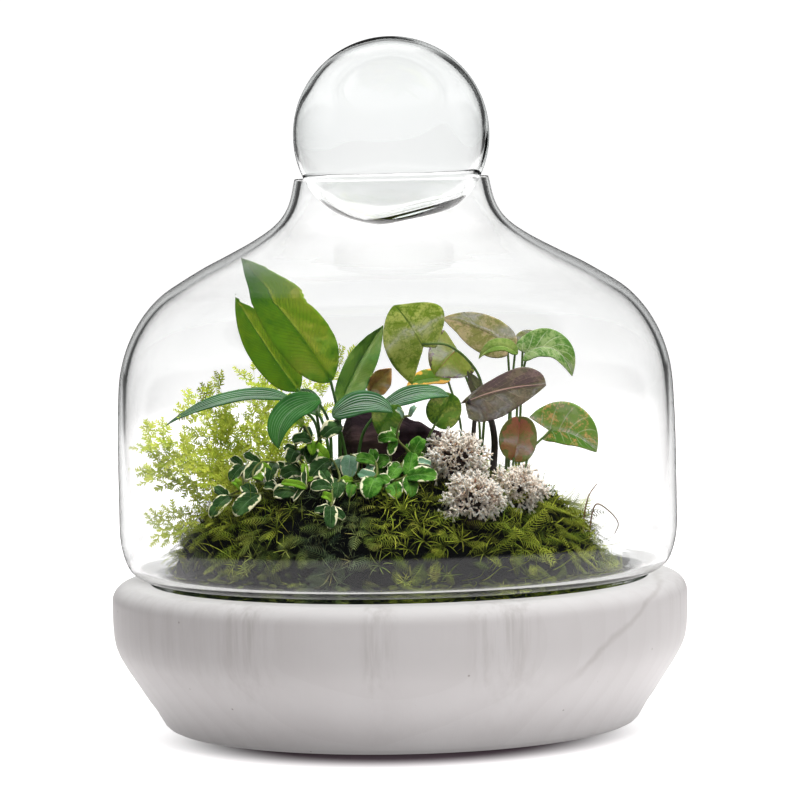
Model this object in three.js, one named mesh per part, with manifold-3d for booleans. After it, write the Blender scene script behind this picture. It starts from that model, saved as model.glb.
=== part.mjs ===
// A glass plant terrarium: a turned white bowl, a blown dome that stands in its top, a hollow glass
// ball that closes the neck, and a planted mound of soil and moss inside.
// Millimetres, +Z up. The origin is the middle of the bowl's foot, and the front faces -Y.
import * as THREE from 'three';
import { mergeVertices } from 'three/addons/utils/BufferGeometryUtils.js';
import Module from 'manifold-3d';

const wasm = await Module();
wasm.setup();

// Driving dimensions of the vessel
const SECTORS = 32;            // facets round every turned piece, so that they line up
const GAP = 0.3;               // clearance between pieces that touch
const BOWL_RADIUS = 160;
const BOWL_TOP = 82;           // the flat ring round the opening
const BOWL_FOOT_RADIUS = 124;
const BOWL_FLOOR = 22;         // thickness under the soil
const CAVITY_RADIUS = 126;
const RECESS_RADIUS = 138;     // the rebate that the dome stands in
const LEDGE = 77;              // its floor
const GLASS = 4;               // wall of the dome
const NECK_RADIUS = 53.6;
const NECK_TOP = 304;
const MOUTH_RADIUS = 132;      // the turned-in foot of the dome
const BALL_RADIUS = 54.4;
const BALL_WALL = 3;
const BALL_HEIGHT = 327.9;     // centre of the ball, resting in the neck
const BALL_SHIFT = 0.4;
const BALL_TILT = 15;          // degrees that the ball's flat leans to the right
const BALL_FLAT_RADIUS = 21.4;
const BALL_FLAT_THICKNESS = 6.5;
const BALL_VENT_RADIUS = 3;

// Driving dimensions of the planting
const MOSS_RADIUS = 125.6;
const MOSS_FOOT = 81;          // height of the moss at its edge
const MOSS_RISE = 58;          // height of the mound above its edge
const MOSS_THICKNESS = 9;
const ROOT_DEPTH = 14;         // how far a stalk goes down, through the moss into the soil
const CREEPER_DEPTH = 6;       // how far a creeping stem goes into the moss
const STEM_FOOT = 4;           // how far it stands straight above it
const BLADE = 0.8;             // thickness of a leaf

// Colours
const colours = {
  limewash: 0xe9e6e1,
  glass: 0xe4efec,
  soil: 0x2b2119,
  moss: 0x5f7420,
  bark: 0x33262a,
  lily: 0x4f8a2a,
  lilyDark: 0x2f6a3a,
  syngonium: 0x6f7a3c,
  syngoniumDark: 0x4a4038,
  lime: 0x86b52a,
  rosy: 0x8c5a44,
  fig: 0x2c6a34,
  figBright: 0x4c9a34,
  spikemoss: 0x9aa838,
  lichen: 0xc9bdb2,
  dry: 0xb08a5c,
};

// A repeatable number from 0 to 1 for each seed
function draw(seed) {
  const wave = Math.sin(seed * 12.9898 + 4.1414) * 43758.5453;
  return wave - Math.floor(wave);
}

const vector = (point) => new THREE.Vector3(...point);

// Closed geometry as a solid, with its shared corners merged and its empty triangles left out
function solidOf(geometry) {
  const bare = new THREE.BufferGeometry();
  bare.setAttribute('position', geometry.getAttribute('position'));
  bare.setIndex(geometry.getIndex());
  const merged = mergeVertices(bare, 1e-3);
  const corners = merged.getIndex().array;
  const triangles = [];
  for (let i = 0; i < corners.length; i += 3) {
    const [a, b, c] = corners.slice(i, i + 3);
    if (a !== b && b !== c && c !== a) triangles.push(a, b, c);
  }
  return new wasm.Manifold(new wasm.Mesh({
    numProp: 3,
    vertProperties: merged.getAttribute('position').array,
    triVerts: new Uint32Array(triangles),
  }));
}

function geometryOf(solid) {
  const made = solid.getMesh();
  const geometry = new THREE.BufferGeometry();
  geometry.setAttribute('position', new THREE.BufferAttribute(made.vertProperties, 3));
  geometry.setIndex(new THREE.BufferAttribute(made.triVerts, 1));
  const faceted = geometry.toNonIndexed();
  faceted.computeVertexNormals();
  return faceted;
}

const joined = (solids) => solids.reduce((whole, next) => whole.add(next));

// A profile of [radius, height] points turned round the upright axis
function turned(profile, sectors = SECTORS) {
  const points = profile.map(([radius, height]) => new THREE.Vector2(radius, height));
  return new THREE.LatheGeometry(points, sectors).rotateX(Math.PI / 2);
}

function arc(centreRadius, centreHeight, radius, fromDegrees, toDegrees, steps) {
  const points = [];
  for (let i = 0; i <= steps; i += 1) {
    const angle = THREE.MathUtils.degToRad(fromDegrees + (toDegrees - fromDegrees) * i / steps);
    points.push([centreRadius + radius * Math.cos(angle), centreHeight + radius * Math.sin(angle)]);
  }
  return points;
}

function smooth(points, steps) {
  const curve = new THREE.SplineCurve(points.map(([radius, height]) => new THREE.Vector2(radius, height)));
  return curve.getSpacedPoints(steps);
}

// The turned bowl: a flat foot, a flaring side, a rounded shoulder, and the rebate round the cavity
function bowlGeometry() {
  const shoulder = 10;
  const cove = 8;
  const flare = [[BOWL_FOOT_RADIUS + 7, 3], [141, 16.6], [152, 34.4], [158.3, 47.7], [BOWL_RADIUS, 62]];
  const side = smooth(flare, 6);
  return turned([
    [0, 0],
    [BOWL_FOOT_RADIUS, 0],
    ...side.map((point) => [point.x, point.y]),
    ...arc(BOWL_RADIUS - shoulder, BOWL_TOP - shoulder, shoulder, 0, 90, 3),
    [RECESS_RADIUS, BOWL_TOP],
    [RECESS_RADIUS, LEDGE],
    [CAVITY_RADIUS, LEDGE],
    ...arc(CAVITY_RADIUS - cove, BOWL_FLOOR + cove, cove, 0, -90, 2),
    [0, BOWL_FLOOR],
  ]);
}

// The dome: an outer wall drawn through its measured widths, and an inner wall one glass thickness in
function domeGeometry() {
  const widths = [
    [MOUTH_RADIUS, LEDGE + GAP], [136, 82.4], [150, 92.5], [154.5, 104], [154.8, 172],
    [151.4, 203], [143.6, 223], [127, 243], [104.5, 256.2], [79.3, 269.6], [64, 279],
    [56, 291.5], [NECK_RADIUS, NECK_TOP],
  ];
  const last = widths.length - 1;
  const curve = new THREE.SplineCurve(widths.map(([radius, height]) => new THREE.Vector2(radius, height)));
  const inner = widths.map(([radius, height], i) => {
    if (i === 0) return [radius - GLASS, height];
    const along = curve.getTangent(i / last);
    return [radius - along.y * GLASS, i === last ? height : height + along.x * GLASS];
  });
  return turned([...widths, ...inner.reverse(), widths[0]]);
}

// The hollow ball: one thick ground flat with a small vent in it, turned round the flat's own axis
function ballGeometry() {
  const flat = -Math.sqrt(BALL_RADIUS ** 2 - BALL_FLAT_RADIUS ** 2);
  const hollow = BALL_RADIUS - BALL_WALL;
  const floor = flat + BALL_FLAT_THICKNESS;
  const outerStart = THREE.MathUtils.radToDeg(Math.asin(flat / BALL_RADIUS));
  const innerStart = THREE.MathUtils.radToDeg(Math.asin(floor / hollow));
  return turned([
    [BALL_VENT_RADIUS, flat],
    ...arc(0, 0, BALL_RADIUS, outerStart, 90, 9),
    ...arc(0, 0, hollow, 90, innerStart, 6),
    [BALL_VENT_RADIUS, floor],
    [BALL_VENT_RADIUS, flat],
  ], 22);
}

// The mound: flat at its edge, steep up to a broad crown, and fuller on the left than on the right
const MOUND_RADIUS = 124;
const MOUND_SHIFT = 6;
const LUMP = 2.2;

function moundHeight(x, y) {
  const radius = Math.hypot(x, y);
  const reach = radius + 4 + MOUND_SHIFT * x / Math.max(radius, MOUND_SHIFT);
  return MOSS_FOOT + MOSS_RISE * (1 - Math.min(reach / MOUND_RADIUS, 1) ** 3.2) ** 0.6;
}

function mossHeight(x, y) {
  const height = moundHeight(x, y);
  const lumps = Math.sin(x / 11) * Math.cos(y / 13) + 0.5 * Math.sin(x / 6 + y / 7);
  return height + LUMP * lumps * Math.min((height - MOSS_FOOT) / 25, 1);
}

const soilHeight = (x, y) => Math.max(LEDGE - 1, moundHeight(x, y) - MOSS_THICKNESS);

// A turned block whose top rings are lifted onto the mound
function moundGeometry(below, top) {
  const rings = [MOSS_RADIUS, 119, 112, 103, 90, 62, 0];
  const profile = [...below, ...rings.map((radius) => [radius, MOSS_FOOT])];
  const geometry = turned(profile);
  const places = geometry.getAttribute('position');
  for (let i = 0; i < places.count; i += 1) {
    if (i % profile.length >= below.length) places.setZ(i, top(places.getX(i), places.getY(i)));
  }
  return geometry;
}

function soilGeometry() {
  const floor = BOWL_FLOOR + GAP;
  return moundGeometry([[0, floor], [CAVITY_RADIUS - 10, floor], [MOSS_RADIUS, floor + 10]], soilHeight);
}

function mossGeometry() {
  const foot = LEDGE - 1 + GAP;
  return moundGeometry([[0, foot], [MOSS_RADIUS, foot]], mossHeight);
}

// A smooth path that is cut at the points it is drawn through, not at even lengths
class Stem extends THREE.CatmullRomCurve3 {
  getPointAt(share, target) {
    return this.getPoint(share, target);
  }

  getTangentAt(share, target) {
    return this.getTangent(share, target);
  }
}

// A round stem, with a ring of corners at each point and as many more between as asked for
const stemPoints = [];

function tube(points, radius, sides, between = 1) {
  const section = new THREE.Shape();
  for (let i = 0; i < sides; i += 1) {
    const angle = i / sides * 2 * Math.PI;
    section[i ? 'lineTo' : 'moveTo'](radius * Math.cos(angle), radius * Math.sin(angle));
  }
  const path = new Stem(points.map(vector));
  const steps = (points.length - 1) * between;
  stemPoints.push(...path.getPoints(points.length * 5));
  return solidOf(new THREE.ExtrudeGeometry(section, { extrudePath: path, steps, bevelEnabled: false }));
}

// A stem's path from below the moss, straight up through its hole and on through the points given
const sockets = [];

function rooted([x, y], radius, points, depth = ROOT_DEPTH) {
  const surface = mossHeight(x, y);
  sockets.push({ x, y, radius, surface, depth });
  return [[x, y, surface - depth], [x, y, surface + STEM_FOOT], ...points];
}

// Where a leaf's flat outline has its fullest part, as shares of its length
const outlines = {
  lance: { shoulder: 0.1, waist: 0.66 },
  arrow: { shoulder: 0.06, waist: 0.6 },
  oval: { shoulder: 0.0, waist: 0.98 },
};

// One edge of a leaf laid flat, from the end of its lobe to its tip
function margin(share, length, side, outline) {
  const rest = 1 - share;
  const weights = [rest ** 3, 3 * rest ** 2 * share, 3 * rest * share ** 2, share ** 3];
  const out = Math.max(side.out ?? 0, 0.5);
  const full = (side.width - out / 8) * 4 / 3;
  const tip = 0.35;
  return {
    along: -(side.back ?? 0) * weights[0] + outline.shoulder * length * weights[1]
      + outline.waist * length * weights[2] + length * weights[3],
    across: out * weights[0] + full * (weights[1] + weights[2]) + tip * weights[3],
  };
}

// The leaf's midrib as a curve through its middle point, with the frame that its edges are laid out in
function midrib(leaf) {
  const [base, mid, tip] = [vector(leaf.base), vector(leaf.mid), vector(leaf.tip)];
  const pull = mid.clone().multiplyScalar(2).addScaledVector(base, -0.5).addScaledVector(tip, -0.5);
  const curve = new THREE.QuadraticBezierCurve3(base, pull, tip);
  const length = base.distanceTo(mid) + mid.distanceTo(tip);
  const face = vector(leaf.face).normalize();
  const frameAt = (along) => {
    const share = THREE.MathUtils.clamp(along / length, 0, 1);
    const forward = curve.getTangent(share);
    const left = face.clone().cross(forward).normalize();
    const up = forward.clone().cross(left);
    const point = curve.getPoint(share).addScaledVector(forward, along - share * length);
    return { point, left, up };
  };
  return { length, frameAt };
}

// A leaf blade: the flat outline bent onto the midrib, folded, cupped and waved, with an even thickness
function blade(leaf) {
  const { length, frameAt } = midrib(leaf);
  const outline = outlines[leaf.outline];
  const rows = leaf.rows ?? 5;
  const half = leaf.half ?? 2;
  const columns = 2 * half + 1;
  const fold = leaf.fold ?? 0.15;
  const cup = leaf.cup ?? 0;
  const wave = leaf.wave ?? 0;
  const top = [];
  const bottom = [];
  for (let i = 0; i <= rows; i += 1) {
    const share = i / rows;
    for (let j = -half; j <= half; j += 1) {
      const reach = Math.abs(j) / half;
      const side = j < 0 ? leaf.left : leaf.right;
      const edge = margin(share, length, side, outline);
      const along = share * length * (1 - reach) + edge.along * reach;
      const across = edge.across * reach;
      const { point, left, up } = frameAt(along);
      const ripple = wave * Math.sin(share * 15 + (j < 0 ? 1 : 3)) * reach ** 2;
      const rise = fold * across + cup * across ** 2 / side.width + ripple;
      const slope = fold + 2 * cup * across / side.width;
      const outward = j < 0 ? 1 : -1;
      point.addScaledVector(left, outward * across).addScaledVector(up, rise);
      const normal = up.clone();
      if (j !== 0) normal.addScaledVector(left, -outward * slope).normalize();
      top.push(point.clone().addScaledVector(normal, BLADE / 2));
      bottom.push(point.clone().addScaledVector(normal, -BLADE / 2));
    }
  }
  const count = top.length;
  const triangles = [];
  const at = (i, j) => i * columns + j;
  for (let i = 0; i < rows; i += 1) {
    for (let j = 0; j < columns - 1; j += 1) {
      const [a, b, c, d] = [at(i, j), at(i, j + 1), at(i + 1, j + 1), at(i + 1, j)];
      triangles.push(a, b, c, a, c, d);
      triangles.push(a + count, c + count, b + count, a + count, d + count, c + count);
    }
  }
  const rim = [];
  for (let j = 0; j < columns - 1; j += 1) rim.push(at(0, j));
  for (let i = 0; i < rows; i += 1) rim.push(at(i, columns - 1));
  for (let j = columns - 1; j > 0; j -= 1) rim.push(at(rows, j));
  for (let i = rows; i > 0; i -= 1) rim.push(at(i, 0));
  rim.forEach((a, i) => {
    const b = rim[(i + 1) % rim.length];
    triangles.push(a, a + count, b, b, a + count, b + count);
  });
  const geometry = new THREE.BufferGeometry();
  const places = [...top, ...bottom].flatMap((point) => [point.x, point.y, point.z]);
  geometry.setAttribute('position', new THREE.Float32BufferAttribute(places, 3));
  geometry.setIndex(triangles);
  return solidOf(geometry);
}

// A small leaf: its outline in two flat halves that meet in a shallow fold along the midrib
function smallLeaf(leaf) {
  const { length, frameAt } = midrib(leaf);
  const outline = outlines[leaf.outline];
  const shares = [0.22, 0.52, 0.84];
  const half = (side, outward) => shares.map((share) => {
    const edge = margin(share, length, side, outline);
    const { point, left, up } = frameAt(edge.along);
    return point.addScaledVector(left, outward * edge.across).addScaledVector(up, leaf.fold * edge.across);
  });
  const [foot, tip] = [frameAt(0).point, frameAt(length).point];
  const ring = [foot, ...half(leaf.right, -1), tip, ...half(leaf.left, 1).reverse()];
  const { up } = frameAt(length / 2);
  const places = [1, -1].flatMap((way) => ring.flatMap((point) => (
    point.clone().addScaledVector(up, way * BLADE / 2).toArray())));
  const triangles = [[0, 1, 2], [0, 2, 3], [0, 3, 4], [0, 4, 5], [0, 5, 6], [0, 6, 7]]
    .flatMap(([a, b, c]) => [a, b, c, a + ring.length, c + ring.length, b + ring.length]);
  ring.forEach((_, a) => {
    const b = (a + 1) % ring.length;
    triangles.push(a, a + ring.length, b, b, a + ring.length, b + ring.length);
  });
  const geometry = new THREE.BufferGeometry();
  geometry.setAttribute('position', new THREE.Float32BufferAttribute(places, 3));
  geometry.setIndex(triangles);
  return solidOf(geometry);
}

// A leaf on its own stalk, rooted in the soil
function stalkedLeaf(leaf) {
  const radius = leaf.stalk ?? 0.9;
  const { frameAt } = midrib(leaf);
  const path = rooted(leaf.root, radius, [...(leaf.via ?? []), frameAt(1.2).point.toArray()]);
  return blade(leaf).add(tube(path, radius, 4));
}

const even = (width, back = 0, out = 0) => ({
  left: { width, back, out },
  right: { width, back, out },
});

// Peace lily: long pointed leaves on stalks that rise from one crown at the left
const lilyLeaves = [
  { root: [-31, -22], via: [[-32, -26, 175]], base: [-35, -30, 194], mid: [-56, -36, 227],
    tip: [-82, -30, 260],
    face: [0.25, -0.95, 0.2], ...even(16), fold: 0.12, wave: 0.8, rows: 7, colour: 'lily' },
  { root: [-37, -5], via: [[-42, -3, 172]], base: [-54, 0, 187], mid: [-72, 4, 213], tip: [-88, 8, 242],
    face: [0.2, -0.95, 0.3], ...even(12), fold: 0.12, wave: 0.6, colour: 'lily' },
  { root: [-32, 10], via: [[-32, 11, 160]], base: [-31, 12, 176], mid: [-21, 14, 199], tip: [-6, 16, 223],
    face: [0.6, -0.75, 0.2], ...even(10), fold: 0.2, wave: 0.5, colour: 'lily' },
  { root: [-43, -12], via: [[-45, -13, 170]], base: [-58, -15, 184], mid: [-90, -11, 187],
    tip: [-128, -5, 170], face: [0.05, -0.4, 0.92], ...even(9), fold: 0.2, half: 1, colour: 'lilyDark' },
  { root: [-36, -36], via: [[-37, -40, 172]], base: [-41, -45, 186], mid: [-60, -53, 182],
    tip: [-64, -62, 160], face: [-0.3, -0.75, 0.6], ...even(11), fold: 0.3, colour: 'lilyDark' },
  { root: [-27, -34], via: [[-30, -40, 164]], base: [-35, -48, 177], mid: [-18, -56, 187],
    tip: [-2, -63, 179], face: [0.1, -0.55, 0.83], ...even(8.5), fold: 0.15, half: 1, colour: 'lilyDark' },
  { root: [-22, -27], via: [[-18, -28, 165]], base: [-9, -30, 178], mid: [12, -36, 187], tip: [36, -38, 191],
    face: [0, -0.5, 0.86], ...even(7), fold: 0.1, half: 1, colour: 'lilyDark' },
  { root: [-42, -24], via: [[-42, -26, 162]], base: [-43, -33, 176], mid: [-47, -34, 184],
    tip: [-52, -33, 190], face: [0.3, -0.9, 0.3], ...even(5), rows: 4, half: 1, colour: 'lilyDark' },
];

// Arrowhead vine: lobed leaves on stalks from one crown at the right
const vineLeaves = [
  { root: [46, -2], via: [[38, -2, 170], [24, -4, 198]], base: [16, -8, 211], mid: [8, -11, 225],
    tip: [0, -4, 237],
    face: [0.1, -0.97, 0.1], left: { width: 19, back: 17, out: 16 }, right: { width: 19, back: 5, out: 6 },
    fold: -0.12, rows: 7, colour: 'syngonium' },
  { root: [62, 10], via: [[64, 10, 175]], base: [64, 5, 209], mid: [46, 6, 221], tip: [27, 3, 227],
    face: [0, -0.95, 0.3], left: { width: 13, back: 2, out: 5 }, right: { width: 9.5, back: 2, out: 4 },
    wave: 0.6, colour: 'syngonium' },
  { root: [46, 18], via: [[46, 20, 170]], base: [35, 20, 208], mid: [28, 18, 201], tip: [22, 20, 193],
    face: [0, -1, 0.1], left: { width: 15, back: -2, out: 14 }, right: { width: 13, back: 2, out: 13 },
    colour: 'syngonium' },
  { root: [60, -8], via: [[63, -8, 175]], base: [68, -9, 206], mid: [57, -11, 211], tip: [46, -10, 204],
    face: [0, -0.6, 0.8], ...even(5.5), half: 1, colour: 'lime' },
  { root: [68, 14], via: [[70, 14, 180]], base: [71, 14, 208], mid: [74, 14, 213], tip: [79, 14, 217],
    face: [0, -0.95, 0.3], ...even(6), rows: 4, half: 1, colour: 'syngonium' },
  { root: [66, 3], via: [[68, 2, 180]], base: [72, -2, 206], mid: [88, -4, 208], tip: [98, -7, 193],
    face: [0, -0.8, 0.6], left: { width: 11, back: 3, out: 5 }, right: { width: 7, back: 3, out: 4 },
    wave: 0.5, colour: 'lilyDark' },
  { root: [53, -10], via: [[54, -11, 160], [50, -16, 174]], base: [38, -22, 180], mid: [59, -25, 187],
    tip: [83, -21, 189], face: [0, -0.95, 0.3], left: { width: 10, back: 2, out: 3 },
    right: { width: 14, back: 2, out: 8 }, fold: -0.2, stalk: 2.2, colour: 'syngoniumDark' },
  { root: [63, -18], via: [[63, -17, 138]], base: [64, -16, 147], mid: [67, -18, 159], tip: [68, -14, 171],
    face: [-0.1, -0.98, 0.1], ...even(10.5), outline: 'oval', colour: 'rosy' },
  { root: [70, -4], via: [[74, -1, 150]], base: [85, 4, 162], mid: [99, 1, 159], tip: [111, -2, 150],
    face: [0, -0.95, 0.3], left: { width: 16, back: 11, out: 7 }, right: { width: 7, back: 4, out: 5 },
    wave: 0.8, rows: 6, colour: 'lime' },
  { root: [36, 22], via: [[36, 25, 165]], base: [31, 28, 190], mid: [18, 28, 191], tip: [6, 28, 187],
    face: [0, -0.5, 0.86], ...even(8), half: 1, colour: 'lime' },
  { root: [14, -32], via: [[16, -33, 158]], base: [21, -34, 169], mid: [26, -37, 177], tip: [30, -36, 186],
    face: [0.1, -0.95, 0.2], ...even(9.5), outline: 'oval', half: 1, colour: 'fig' },
  { root: [-4, -38], via: [[-3, -40, 160], [-2, -42, 176]], base: [-3, -46, 181], mid: [-6, -48, 173],
    tip: [-10, -46, 165], face: [0, -0.98, 0.1], ...even(8.5, 1, 4), half: 1, colour: 'fig' },
  { root: [42, -6], via: [[43, -6, 165]], base: [46, -4, 181], mid: [44, -4, 188], tip: [40, -3, 196],
    face: [0.5, -0.8, 0.1], ...even(4.5), rows: 4, half: 1, stalk: 1.6, colour: 'syngoniumDark' },
];

// Creeping fig: each stem's leaves as place, length, direction seen from the front, and width
const figStems = [
  { root: [-72, -46], colour: 'fig', leaves: [
    [-82, -58, 130, 17, -134, 11.5], [-97, -42, 128, 16, -128, 8.5], [-88, -36, 139, 5, 150, 5],
    [-88, -28, 145, 12, -124, 7.5]] },
  { root: [-64, -36], colour: 'fig', leaves: [
    [-69, -50, 138, 8, 180, 5.5], [-76, -44, 143, 6, -30, 4.8], [-79, -32, 146, 13, -128, 8],
    [-69, -28, 145, 12, -105, 7.5]] },
  { root: [-52, -52], colour: 'fig', leaves: [
    [-61, -62, 136, 13, 190, 11], [-56, -70, 141, 14, 176, 4.5], [-50, -62, 147, 8, 95, 4.2],
    [-58, -40, 145, 12, 200, 9]] },
  { root: [-36, -60], colour: 'fig', leaves: [
    [-42, -48, 148, 16, -135, 10.5], [-32, -72, 139, 11, -100, 7.5], [-41, -76, 140, 12, 190, 8.5],
    [-38, -84, 135, 6, 170, 5], [-36, -97, 126, 13, -92, 7.6]] },
  { root: [-48, -24], colour: 'fig', leaves: [
    [-57, -34, 154, 9, -110, 9], [-54, -30, 173, 7, 150, 5], [-52, -38, 163, 11, 190, 8],
    [-47, -38, 155, 11, -100, 8], [-35, -53, 169, 12, 20, 11]] },
  { root: [-20, -60], colour: 'figBright', leaves: [
    [-25, -70, 138, 9, -100, 6], [-14, -80, 140, 13, -110, 12], [-17, -62, 153, 11, 175, 7],
    [-8, -58, 151, 9, 20, 9], [-26, -50, 149, 14, -95, 10]] },
  { root: [6, -66], colour: 'figBright', leaves: [
    [13, -62, 151, 11, -15, 5], [-1, -68, 147, 11, -125, 8], [13, -77, 145, 17, -8, 10.5],
    [-2, -79, 138, 10, -70, 9]] },
  { root: [3, -56], colour: 'figBright', leaves: [
    [11, -54, 159, 10, 55, 8.5], [-5, -56, 164, 11, 195, 7.5], [2, -57, 178, 5, 150, 3],
    [9, -57, 179, 5, 40, 3]] },
];

// A leaf row laid as a leaf that faces the front and up, with its base on the side that its tip points from
function figLeaf([x, y, z, length, degrees, width], seed) {
  const face = new THREE.Vector3(0.3 * (draw(seed) - 0.5), -0.72, 0.68 + 0.3 * (draw(seed + 0.5) - 0.5));
  const angle = THREE.MathUtils.degToRad(degrees);
  const [alongX, alongZ] = [Math.cos(angle), Math.sin(angle)];
  const alongY = -(face.x * alongX + face.z * alongZ) / face.y;
  const half = new THREE.Vector3(alongX, alongY, alongZ).multiplyScalar(length / 2);
  const middle = new THREE.Vector3(x, y, z);
  return {
    base: middle.clone().sub(half).toArray(),
    mid: middle.clone().addScaledVector(face.normalize(), 0.6).toArray(),
    tip: middle.clone().add(half).toArray(),
    face: face.toArray(),
    ...even(width / 2),
    outline: 'oval',
    fold: 0.15,
  };
}

// One leafy stem, which passes through the foot of each leaf in turn
function figStem(stem, number) {
  const stemRadius = 0.75;
  const clear = 3.2;
  const behind = [0, 2, -2];
  const leaves = stem.leaves.map((row, i) => figLeaf(row, number * 10 + i));
  leaves.forEach((leaf) => {
    const [x, y, z] = leaf.base.map((value, i) => value + behind[i]);
    leaf.base = [x, y, Math.max(z, mossHeight(x, y) + clear)];
  });
  const path = rooted(stem.root, stemRadius, leaves.map((leaf) => leaf.base), CREEPER_DEPTH);
  return joined([tube(path, stemRadius, 3), ...leaves.map(smallLeaf)]);
}

// Spikemoss: arching stems with flat side sprays, each cut to its rib into small leaflets
const spikemossSprays = [
  { root: [-98, 8], mid: [-118, 14, 137], tip: [-136, 16, 141], branches: 5 },
  { root: [-90, -6], mid: [-108, 2, 150], tip: [-129, 6, 163], branches: 6 },
  { root: [-86, 18], mid: [-97, 24, 158], tip: [-104, 26, 178], branches: 6 },
  { root: [-72, 30], mid: [-76, 38, 165], tip: [-76, 42, 188], branches: 6 },
  { root: [-58, 38], mid: [-46, 44, 176], tip: [-24, 48, 208], branches: 6 },
  { root: [-106, -8], mid: [-119, -8, 116], tip: [-130, -6, 113], branches: 4 },
  { root: [-94, -20], mid: [-102, -16, 145], tip: [-114, -16, 152], branches: 5 },
];

// A flat spray laid along +X: its outline steps out and back once for each pair of leaflets
function sprayShape(length, width, pairs) {
  const edge = [];
  for (let i = 0; i < pairs; i += 1) {
    const start = length * (i + 0.65) / (pairs + 0.8);
    const reach = width / 2 * (1 - 0.45 * i / pairs);
    edge.push([start, 0.5], [start + length * 0.2, reach]);
  }
  const shape = new THREE.Shape();
  shape.moveTo(0, -0.5);
  edge.forEach(([along, across]) => shape.lineTo(along, -across));
  shape.lineTo(length, 0);
  [...edge].reverse().forEach(([along, across]) => shape.lineTo(along, across));
  shape.lineTo(0, 0.5);
  return shape;
}

function flatSpray(origin, direction, facing, length, width, pairs) {
  const forward = direction.clone().normalize();
  const side = facing.clone().cross(forward).normalize();
  const up = forward.clone().cross(side);
  const shape = sprayShape(length, width, pairs);
  const geometry = new THREE.ExtrudeGeometry(shape, { depth: BLADE, bevelEnabled: false });
  geometry.translate(0, 0, -BLADE / 2);
  geometry.applyMatrix4(new THREE.Matrix4().makeBasis(forward, side, up).setPosition(origin));
  return solidOf(geometry);
}

function spikemossSpray(spray, number) {
  const stemRadius = 0.75;
  const width = 8;
  const pairs = 2;
  const lowest = 0.42;
  const path = rooted(spray.root, stemRadius, [spray.mid, spray.tip], CREEPER_DEPTH);
  const curve = new THREE.CatmullRomCurve3(path.map(vector));
  const pieces = [tube(path, stemRadius, 3, 2)];
  for (let i = 0; i < spray.branches; i += 1) {
    const last = i === spray.branches - 1;
    const share = lowest + (1 - lowest) * i / (spray.branches - 1);
    const seed = number * 20 + i;
    const forward = curve.getTangentAt(share);
    const facing = new THREE.Vector3(0.5 * (draw(seed) - 0.5), -0.75, 0.65).normalize();
    const side = facing.clone().cross(forward).multiplyScalar(i % 2 ? 1 : -1);
    const spread = last ? 0.1 : 1.1;
    const direction = forward.clone().addScaledVector(side, spread);
    const length = (last ? 10 : 15) * (0.85 + 0.4 * draw(seed + 0.3));
    pieces.push(flatSpray(curve.getPointAt(share), direction, facing, length, width, pairs));
  }
  return joined(pieces);
}

// A three-sided needle from its foot along its direction
function spike(foot, direction, length, width) {
  const needle = new THREE.ConeGeometry(width, length, 3, 1).translate(0, length / 2, 0);
  const upright = new THREE.Vector3(0, 1, 0);
  const turn = new THREE.Quaternion().setFromUnitVectors(upright, direction.clone().normalize());
  return solidOf(needle.applyQuaternion(turn).translate(foot.x, foot.y, foot.z));
}

// Reindeer lichen: a close head of short pointed fingers round a small core
const lichenClumps = [
  { centre: [35, -45, 150], radius: 17, squash: 0.85, fingers: 21 },
  { centre: [44, -84, 130], radius: 16, squash: 0.8, fingers: 19 },
  { centre: [69, -52, 136], radius: 13, squash: 0.85, fingers: 16 },
];

// The core reaches down into the moss, where the clump is bedded
function lichenCore(clump, clearance) {
  const bedding = 4;
  const [x, y, z] = clump.centre;
  const width = clump.radius * 0.58;
  const [low, high] = [mossHeight(x, y) - bedding, z + width * clump.squash];
  return new THREE.IcosahedronGeometry(1, 1)
    .scale(width + clearance, width + clearance, (high - low) / 2 + clearance)
    .translate(x, y, (low + high) / 2);
}

function lichenClump(clump, number) {
  const pieces = [solidOf(lichenCore(clump, 0))];
  const golden = Math.PI * (3 - Math.sqrt(5));
  for (let i = 0; i < clump.fingers; i += 1) {
    const height = 1 - 1.45 * (i + 0.5) / clump.fingers;
    const ring = Math.sqrt(1 - height ** 2);
    const turn = i * golden + number;
    const direction = new THREE.Vector3(ring * Math.cos(turn), ring * Math.sin(turn), height * clump.squash);
    const start = clump.radius * 0.3;
    const length = clump.radius * (0.57 + 0.16 * draw(number * 50 + i));
    const foot = vector(clump.centre).addScaledVector(direction, start);
    const point = vector(clump.centre).addScaledVector(direction, start + length);
    if (point.z < mossHeight(point.x, point.y) + 2) continue;
    pieces.push(spike(foot, direction, length, 1.7));
  }
  return joined(pieces);
}

// Driftwood: a short dark log that lies behind the front plants, sunk a little into the moss
const LOG = { centre: [1, -9, 152], length: 58, height: 36, depth: 25 };

function logGeometry(clearance) {
  const rows = 10;
  const sides = 14;
  const profile = [];
  for (let i = 0; i <= rows; i += 1) {
    const share = i / rows;
    const onAxis = i === 0 || i === rows;
    profile.push([onAxis ? 0 : Math.sin(Math.PI * share) ** 0.45 / 2, (share - 0.5) * LOG.length]);
  }
  const geometry = turned(profile, sides);
  const places = geometry.getAttribute('position');
  for (let i = 0; i < places.count; i += 1) {
    const [x, y, z] = [places.getX(i), places.getY(i), places.getZ(i)];
    const relief = 1 + 0.07 * Math.sin(5 * Math.atan2(y, x) + z * 0.11) + 0.04 * Math.sin(z * 0.5);
    places.setXYZ(i, z, y * relief * LOG.depth, -x * relief * LOG.height);
  }
  const [wider, deeper, higher] = [LOG.length, LOG.depth, LOG.height].map((size) => 1 + 2 * clearance / size);
  return geometry.scale(wider, deeper, higher).translate(...LOG.centre);
}

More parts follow.
